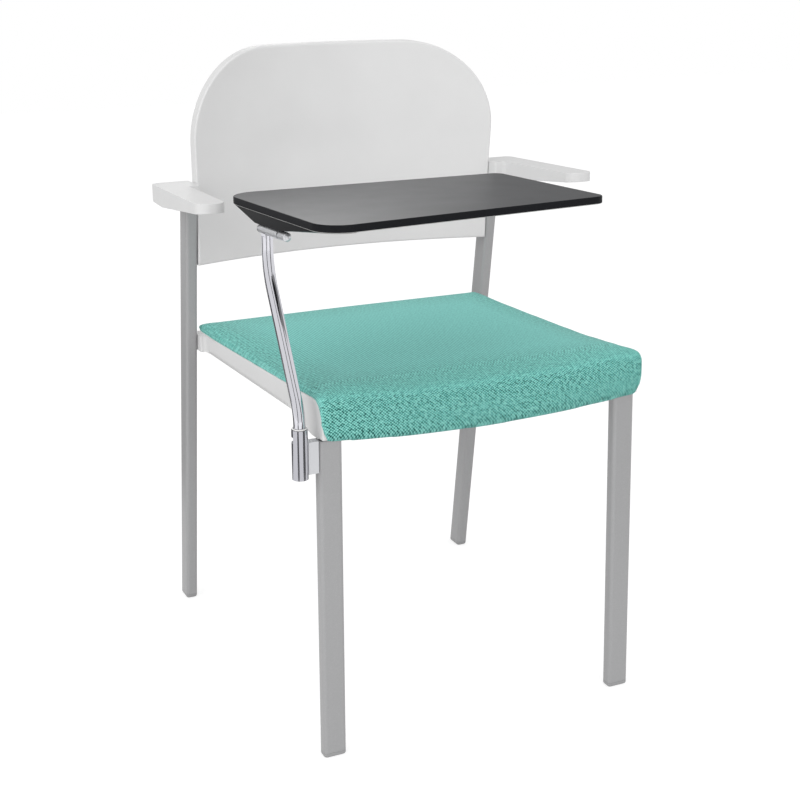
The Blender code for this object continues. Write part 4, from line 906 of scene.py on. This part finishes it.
# Back and arms
def back_spot(across, up, inset, depth):
    """Point of the back's face or outline, drawn in by inset and set back by depth."""
    upright = BACK_HEIGHT - BACK_CORNER
    corner = BACK_CORNER - inset
    if up <= BACK_STRAIGHT:
        rise = inset + (upright - inset) * up / BACK_STRAIGHT
        flare = max(0, rise - BACK_FLARE_START) / (upright - BACK_FLARE_START)
        reach = BACK_HALF - inset + BACK_FLARE * flare
    else:
        turn = (up - BACK_STRAIGHT) / (1 - BACK_STRAIGHT) * math.pi / 2
        rise = BACK_HEIGHT - inset - corner * (1 - math.sin(turn))
        reach = BACK_HALF + BACK_FLARE - inset - corner * (1 - math.cos(turn))
    x = across * reach
    sag = BACK_SAG_LOW + (BACK_SAG_HIGH - BACK_SAG_LOW) * rise / BACK_HEIGHT
    edge = rear_leg_y(BACK_BOTTOM + BACK_HOLD) - BACK_BEFORE_LEG - (rise - BACK_HOLD) * BACK_EDGE_LEAN
    return (x, edge + sag * (1 - (x / BACK_HALF) ** 2) + depth, BACK_BOTTOM + rise)


def backrest():
    """Hollowed panel with rounded edges, a turned-back rim and large upper corners."""
    bm = bmesh.new()
    place = bm.verts.layers.float_vector.new("place")

    def move(verts, inset, depth):
        for vert in verts:
            vert.co = back_spot(vert[place].x, vert[place].y, inset, depth)

    def panel(inset, depth):
        verts = bmesh.ops.create_grid(bm, x_segments=BACK_COLUMNS, y_segments=BACK_ROWS, size=1)["verts"]
        for vert in verts:
            vert[place] = (vert.co.x, (vert.co.y + 1) / 2, 0)
        move(verts, inset, depth)

    panel(BACK_EDGE_ROUND, 0)
    edges = [edge for edge in bm.edges if edge.is_boundary]
    bends = [(i + 1) * math.pi / 12 for i in range(6)]
    rim = [(BACK_EDGE_ROUND * (1 - math.sin(a)), BACK_EDGE_ROUND * (1 - math.cos(a))) for a in bends]
    setback, cut = BACK_RIM_ROUND, 0.3 * BACK_RIM_ROUND
    rim += [(0, BACK_RIM / 2), (0, BACK_RIM - setback), (cut, BACK_RIM - cut), (setback, BACK_RIM)]
    rim += [(BACK_WALL - setback, BACK_RIM), (BACK_WALL - cut, BACK_RIM - cut),
            (BACK_WALL, BACK_RIM - setback)]
    for inset, depth in rim + [(BACK_WALL, BACK_WALL + BACK_EDGE_ROUND), (BACK_WALL, BACK_WALL)]:
        grown = bmesh.ops.extrude_edge_only(bm, edges=edges)["geom"]
        move(only(BMVert, grown), inset, depth)
        edges = [edge for edge in only(BMEdge, grown) if edge.is_boundary]
    panel(BACK_WALL, BACK_WALL)
    made("backrest", closed(bm), PLASTIC, "chair", "white_plastic", "back_shell", sharp=50)
    for spot in ("low", "high"):
        for _, word in SIDES:
            node = "back_bolt_" + spot + "_" + word
            made(node + "_zinc", copied(node), ZINC, "chair", "zinc_steel", node, edge=BOLT_EDGE_ROUND)


def armrests():
    """Moulded armrests: wide and level over the leg, narrow and thinner towards the front."""
    for side, word in SIDES:
        node = word + "_armrest"
        low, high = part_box(node)
        leg_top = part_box("rear_" + word + "_leg")[1].z
        inner = REAR_FOOT.x - TUBE_NARROW / 2
        tip = max(abs(low.x), abs(high.x))
        outer = tip - ARM_FLARE
        step = high.y - ARM_BLOCK_LENGTH
        corners = [(inner, high.y, ARM_CORNER / 3), (outer, high.y, ARM_CORNER), (tip, low.y, ARM_END_ROUND),
                   (tip - ARM_FRONT_WIDTH, low.y, ARM_END_ROUND),
                   (outer - ARM_FRONT_WIDTH, step, ARM_CORNER / 2), (inner, step, ARM_CORNER / 3)]
        bm = thicken(outline([(side * x, y, radius) for x, y, radius in corners]), 1.0)
        for y in (step, (2 * step + low.y) / 3, (step + 2 * low.y) / 3):
            sliced(bm, (0, y, 0), (0, 1, 0))
        base = leg_top + 2 * GAP
        tip_base = high.z - ARM_THICK_FRONT
        for vert in bm.verts:
            share = (high.y - vert.co.y) / (high.y - low.y)
            slim = max(0, step - vert.co.y) / (step - low.y)
            if vert.co.z > 0.5:
                vert.co.z = high.z - ARM_TOP_RISE * (1 - share)
            else:
                vert.co.z = base + (tip_base - base) * slim
        soften(bm, creases(bm, 50), ARM_EDGE_ROUND, 5)
        spigot_top = Vector((side * REAR_FOOT.x, rear_leg_y(base + ARM_SPIGOT), base + ARM_SPIGOT))
        spigot_foot = Vector((side * REAR_FOOT.x, rear_leg_y(leg_top - ARM_SPIGOT), leg_top - ARM_SPIGOT))
        wall = 2 * (TUBE_WALL + GAP)
        spigot = leg_bar(spigot_foot, spigot_top, (TUBE_NARROW - wall, TUBE_WIDE - wall), spigot_foot.z,
                         base + ARM_ROOT)
        bmesh.ops.holes_fill(spigot, edges=spigot.edges)
        bm = carve(bm, closed(spigot), "UNION")
        made(word + "_arm", bm, PLASTIC, "chair", "white_plastic", node, sharp=35)


# Tablet arm
def swivel_sleeve():
    """Chrome sleeve with the stop pin's slot, its lug on the leg, nylon bushes and end plug."""
    low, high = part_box("swivel_sleeve")
    radius = (high.x - low.x) / 2
    bore = radius - SLEEVE_WALL
    place = Matrix.Translation((SWIVEL.x, SWIVEL.y, 0))
    ring = [(radius, high.z), (radius, low.z), (bore, low.z), (bore, high.z)]
    slot_z = high.z - SLOT_DROP
    reach = radius + SLEEVE_WALL
    slot = bmesh.new()
    face = slot.faces.new([slot.verts.new((x, 0, slot_z + z * SLOT_HEIGHT / 2))
                           for x, z in ((bore / 2, -1), (reach, -1), (reach, 1), (bore / 2, 1))])
    spare = SLOT_HEIGHT / 2 / radius
    bmesh.ops.rotate(slot, verts=slot.verts, cent=(0, 0, 0),
                     matrix=Matrix.Rotation(SLOT_START - spare, 3, "Z"))
    bmesh.ops.spin(slot, geom=[face] + face.edges[:] + face.verts[:], axis=(0, 0, 1), cent=(0, 0, 0),
                   angle=SWIVEL_TRAVEL + 2 * spare, steps=24)
    closed(slot)
    ends = [edge for edge in creases(slot, 57) if abs(edge.calc_length() - (reach - bore / 2)) < 1e-6]
    soften(slot, ends, SLOT_HEIGHT * 0.49, 8)
    sleeve = carve(turned(ring, Matrix.Identity(4), 96), slot)
    made("sleeve_tube", placed(sleeve, place), DARKER_CHROME, "chair", "chrome", "swivel_sleeve",
         edge=FINE_EDGE)
    for node, finish, slot_name in (("sleeve_bush_upper", NYLON, "white_nylon"),
                                    ("sleeve_bush_lower", NYLON, "white_nylon"),
                                    ("sleeve_plug", BLACK, "black_plastic")):
        made(node + "_ring", copied(node), finish, "chair", slot_name, node, edge=FINE_EDGE)
    made("lug_block", copied("sleeve_lug"), SATIN, "chair", "chrome", "sleeve_lug", edge=LUG_EDGE_ROUND)


def tablet_arm():
    """Bent chrome bar, its stop pin, and the hinge head with its bushes."""
    sleeve_low, sleeve_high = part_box("swivel_sleeve")
    start = sleeve_high.z + CRANK_START
    end = HINGE_SPOT.z - HEAD_RADIUS - CRANK_TOP
    bends = CRANK_BEND_LOW + CRANK_BEND_HIGH
    rise, shy = end - start, bends - CRANK_OFFSET
    straight = math.sqrt(rise ** 2 + shy ** 2 - bends ** 2)
    lean = math.atan2(rise, shy) - math.atan2(straight, bends)
    bm = bmesh.new()
    foot = sleeve_low.z + ARM_BAR_FOOT
    bmesh.ops.create_circle(bm, cap_ends=False, segments=64, radius=ARM_BAR_RADIUS,
                            matrix=Matrix.Translation((0, 0, foot)))
    ends = bm.edges[:]

    def pull(edges, step):
        grown = bmesh.ops.extrude_edge_only(bm, edges=edges)["geom"]
        bmesh.ops.translate(bm, verts=only(BMVert, grown), vec=step)
        return [edge for edge in only(BMEdge, grown) if edge.is_boundary]

    def bend(edges, centre, angle):
        turned_on = bmesh.ops.spin(bm, geom=edges, axis=(1, 0, 0), cent=centre, angle=angle, steps=24)
        return only(BMEdge, turned_on["geom_last"])

    ends = pull(ends, (0, 0, start - foot))
    ends = bend(ends, (0, CRANK_BEND_LOW, start), -lean)
    ends = pull(ends, (0, straight * math.sin(lean), straight * math.cos(lean)))
    ends = bend(ends, (0, CRANK_OFFSET - CRANK_BEND_HIGH, end), lean)
    pull(ends, (0, 0, HINGE_SPOT.z - HEAD_RADIUS * 0.6 - end))
    bmesh.ops.holes_fill(bm, edges=bm.edges)
    placed(closed(bm), Matrix.Translation((SWIVEL.x, SWIVEL.y, 0)))
    seat = HEAD_RADIUS + GAP
    saddle = turned([(0, -HEAD_FRONT), (seat, -HEAD_FRONT), (seat, HEAD_FRONT), (0, HEAD_FRONT)], ALONG_HINGE)
    bm = carve(bm, saddle)
    relief = block((-2 * ARM_BAR_RADIUS, -HEAD_REAR, -BRACKET_SEAT_OUTER - 3 * GAP),
                   (GAP - HEAD_RADIUS, HEAD_REAR, HEAD_RADIUS))
    bm = carve(bm, placed(relief, HINGE))
    made("crank_bar", bm, CHROME, "tablet_arm", "chrome", "arm_bar", sharp=30)
    for node, finish, slot in (("stop_pin", ZINC, "zinc_steel"), ("hinge_head", SATIN, "chrome"),
                               ("hinge_bush_front", NYLON, "white_nylon"),
                               ("hinge_bush_rear", NYLON, "white_nylon")):
        made(node + "_turned", copied(node), finish, "tablet_arm", slot, node, edge=FINE_EDGE)


# Tablet
def board_corners(inset=0.0):
    """Corners of the tapered board, drawn in by inset."""
    outer, free = inset - BOARD_OUTER, BOARD_LENGTH - BOARD_OUTER - inset
    rear, front = BOARD_REAR - inset, inset - BOARD_FRONT
    return [(outer, rear, BOARD_CORNER), (outer, front, BOARD_CORNER),
            (free, front + BOARD_FRONT_TAPER, BOARD_FREE_CORNER),
            (free, rear - BOARD_REAR_TAPER, BOARD_FREE_CORNER)]


def tablet():
    """Writing board, the hipped bracket under it, and the hinge's leaf, pin, nut, cap and screws."""
    leaf_base = HEAD_RADIUS + GAP
    board_base = leaf_base + BRACKET_DEPTH + GAP
    bm = thicken(outline(board_corners(), 16), BOARD_THICK)
    soften(bm, creases(bm, 57), BOARD_EDGE_ROUND)
    for face in bm.faces:
        if face.normal.z < FACES_DOWN:
            face.material_index = 2     # backing sheet
        elif face.normal.z < 0.9:
            face.material_index = 1     # sawn edge
    placed(bm, HINGE @ Matrix.Translation((0, 0, board_base)))
    board = made("writing_board", bm, LAMINATE, "tablet", "dark_board", "tablet_board", sharp=30)
    for finish in (LAMINATE_EDGE, BACKING):
        board.data.materials.append(finish)

    bm = outline(board_corners(BRACKET_EDGE_INSET), 16)
    bmesh.ops.delete(bm, geom=[vert for vert in bm.verts if vert.co.x > BOARD_LENGTH / 2], context="VERTS")
    bmesh.ops.translate(bm, verts=bm.verts, vec=(0, 0, leaf_base + BRACKET_DEPTH))
    for y in (-BOARD_FRONT, BOARD_REAR):
        bm.verts.new((BRACKET_INNER, y * BRACKET_INNER_SHARE, leaf_base + BRACKET_DEPTH))
    for x in (-BRACKET_SEAT_OUTER, LEAF_INNER + BRACKET_SEAT_OUTER / 2):
        for y in (-BRACKET_SEAT_FRONT, BRACKET_SEAT_REAR):
            bm.verts.new((x, y, leaf_base))
    bmesh.ops.convex_hull(bm, input=bm.verts)
    bmesh.ops.dissolve_limit(bm, angle_limit=math.radians(1), verts=bm.verts, edges=bm.edges)
    closed(bm)
    soften(bm, creases(bm, 12), BOARD_EDGE_ROUND, 3)
    rear_ear, front_ear = HEAD_REAR + 2 * GAP + LEAF_THICK, -HEAD_FRONT - 2 * GAP - LEAF_THICK
    pocket = block((-GAP, front_ear, 0), (LEAF_INNER + GAP, rear_ear, leaf_base + LEAF_THICK + GAP))
    bm = carve(bm, pocket)
    made("bracket", placed(bm, HINGE), BLACK, "tablet", "black_plastic", "tablet_bracket", sharp=25)

    for node, finish, slot in (("hinge_leaf", ZINC, "zinc_steel"), ("hinge_pin", ZINC, "zinc_steel"),
                               ("hinge_nut", SATIN, "chrome"), ("hinge_cap", SATIN, "chrome")):
        made(node + "_made", copied(node), finish, "tablet", slot, node, edge=FINE_EDGE)
    for spot in ("front", "rear"):
        for reach in ("outer", "inner"):
            screw("tablet_screw_" + spot + "_" + reach, HINGE, "tablet")


# Studio
def panel(name, middle, facing, width, height):
    """Upright or level sheet of the studio."""
    bm = bmesh.new()
    bmesh.ops.create_grid(bm, x_segments=1, y_segments=1, size=0.5)
    turn = Vector(facing).to_track_quat("Z", "Y")
    placed(bm, Matrix.LocRotScale(Vector(middle), turn, Vector((width, height, 1))))
    item = from_shape(name, bm)
    return item


def emptied(block):
    """Node tree of a new world or material, with nothing in it."""
    block.use_nodes = True
    block.node_tree.nodes.clear()
    return block.node_tree


def seen(tree):
    """1 where a camera, mirror or glass ray looks, 0 for the light that falls on things."""
    path = add(tree, "ShaderNodeLightPath")
    looks = path.outputs["Is Camera Ray"]
    for ray in ("Is Glossy Ray", "Is Transmission Ray"):
        either = add(tree, "ShaderNodeMath", {0: looks, 1: path.outputs[ray]}, operation="MAXIMUM")
        looks = either.outputs["Value"]
    return looks


def studio():
    """White sweep that keeps the shadow, soft overhead light, and dark flags that draw the chrome."""
    world = bpy.data.worlds.new("studio")
    bpy.context.scene.world = world
    tree = emptied(world)
    white = add(tree, "ShaderNodeBackground", {"Color": (1, 1, 1, 1), "Strength": 1.0})
    dome = add(tree, "ShaderNodeBackground", {"Color": (1, 1, 1, 1), "Strength": DOME_LIGHT})
    both = add(tree, "ShaderNodeMixShader", {0: seen(tree), 1: dome.outputs[0], 2: white.outputs[0]})
    add(tree, "ShaderNodeOutputWorld", {"Surface": both.outputs[0]})

    floor = panel("floor", (0, 0, 0), (0, 0, 1), FLOOR_SIZE, FLOOR_SIZE)
    paper = bpy.data.materials.new("matt_white_paper")
    tree = emptied(paper)
    matt = add(tree, "ShaderNodeBsdfDiffuse", {"Color": linear(FLOOR_BOUNCE)})
    faint = add(tree, "ShaderNodeBsdfDiffuse", {"Color": (FLOOR_SHADE, FLOOR_SHADE, FLOOR_SHADE, 1)})
    glow = add(tree, "ShaderNodeEmission", {"Color": (1, 1, 1, 1), "Strength": FLOOR_GLOW})
    shown = add(tree, "ShaderNodeAddShader", {0: faint.outputs[0], 1: glow.outputs[0]})
    both = add(tree, "ShaderNodeMixShader", {0: seen(tree), 1: matt.outputs[0], 2: shown.outputs[0]})
    add(tree, "ShaderNodeOutputMaterial", {"Surface": both.outputs[0]})
    floor.data.materials.append(paper)

    felt = coat("dark_felt", 0.5, Base_Color=linear(FLAG_TONE))[0]
    flags = [panel("graded_light", *CARD)]
    post = Vector((SWIVEL.x, SWIVEL.y, 0))
    for i, (turn, spread) in enumerate(STRIPS + FLAGS):
        side = math.radians(turn) + CAMERA_TURN
        towards = Vector((math.cos(side), math.sin(side), 0))
        width = 2 * math.tan(math.radians(spread / 2))
        if i < len(STRIPS):
            middle = (FLAG_NEAR + FLAG_FAR) / 2
            flag = panel("strip_%d" % i, (0, 0, FLAG_LIFT), (0, 0, 1), FLAG_FAR - FLAG_NEAR, width * middle)
            flag.data.transform(Matrix.Translation(post + towards * middle) @ Matrix.Rotation(side, 4, "Z"))
        else:
            end = post + towards * FLAG_FAR + Vector((0, 0, FLAG_HEIGHT / 2))
            flag = panel("flag_%d" % i, end, -towards, width * FLAG_FAR, FLAG_HEIGHT)
        flags.append(flag)
    for flag in flags:
        flag.data.materials.append(felt)
        flag.visible_camera = False
        flag.visible_diffuse = False
        flag.visible_transmission = False
        flag.visible_shadow = False
    card = bpy.data.materials.new("graded_light")
    tree = emptied(card)
    spot = add(tree, "ShaderNodeTexCoord").outputs["Object"]
    along = add(tree, "ShaderNodeSeparateXYZ", {"Vector": spot}).outputs["X"]
    light = add(tree, "ShaderNodeMapRange", {"Value": along, "From Min": CARD_SPAN[0],
                                             "From Max": CARD_SPAN[1], "To Min": CARD_LIGHT[0],
                                             "To Max": CARD_LIGHT[1]})
    glow = add(tree, "ShaderNodeEmission", {"Color": (1, 1, 1, 1), "Strength": light.outputs["Result"]})
    add(tree, "ShaderNodeOutputMaterial", {"Surface": glow.outputs[0]})
    flags[0].data.materials[0] = card

    for name, spot, aim, size, watts in LAMPS:
        light = bpy.data.lights.new(name, "AREA")
        light.shape = "DISK"
        light.size = size
        light.energy = watts
        lamp = in_scene(name, light)
        lamp.visible_glossy = False
        lamp.location = spot
        lamp.rotation_euler = (Vector(aim) - Vector(spot)).to_track_quat("-Z", "Y").to_euler()


def camera():
    """Camera where the photograph was taken from."""
    lens = bpy.data.cameras.new("camera")
    lens.sensor_width = CAMERA_SENSOR
    lens.lens = CAMERA_LENS
    eye = in_scene("camera", lens)
    right, up = Vector(CAMERA_RIGHT), Vector(CAMERA_UP)
    turn = Matrix((right, up, right.cross(up))).transposed()
    eye.matrix_world = Matrix.LocRotScale(Vector(CAMERA_SPOT), turn.to_quaternion(), None)
    bpy.context.scene.camera = eye


legs()
seat_pan()
seat_pad()
under_frame()
backrest()
armrests()
swivel_sleeve()
tablet_arm()
tablet()
studio()
camera()
bpy.context.scene.view_settings.view_transform = "Standard"
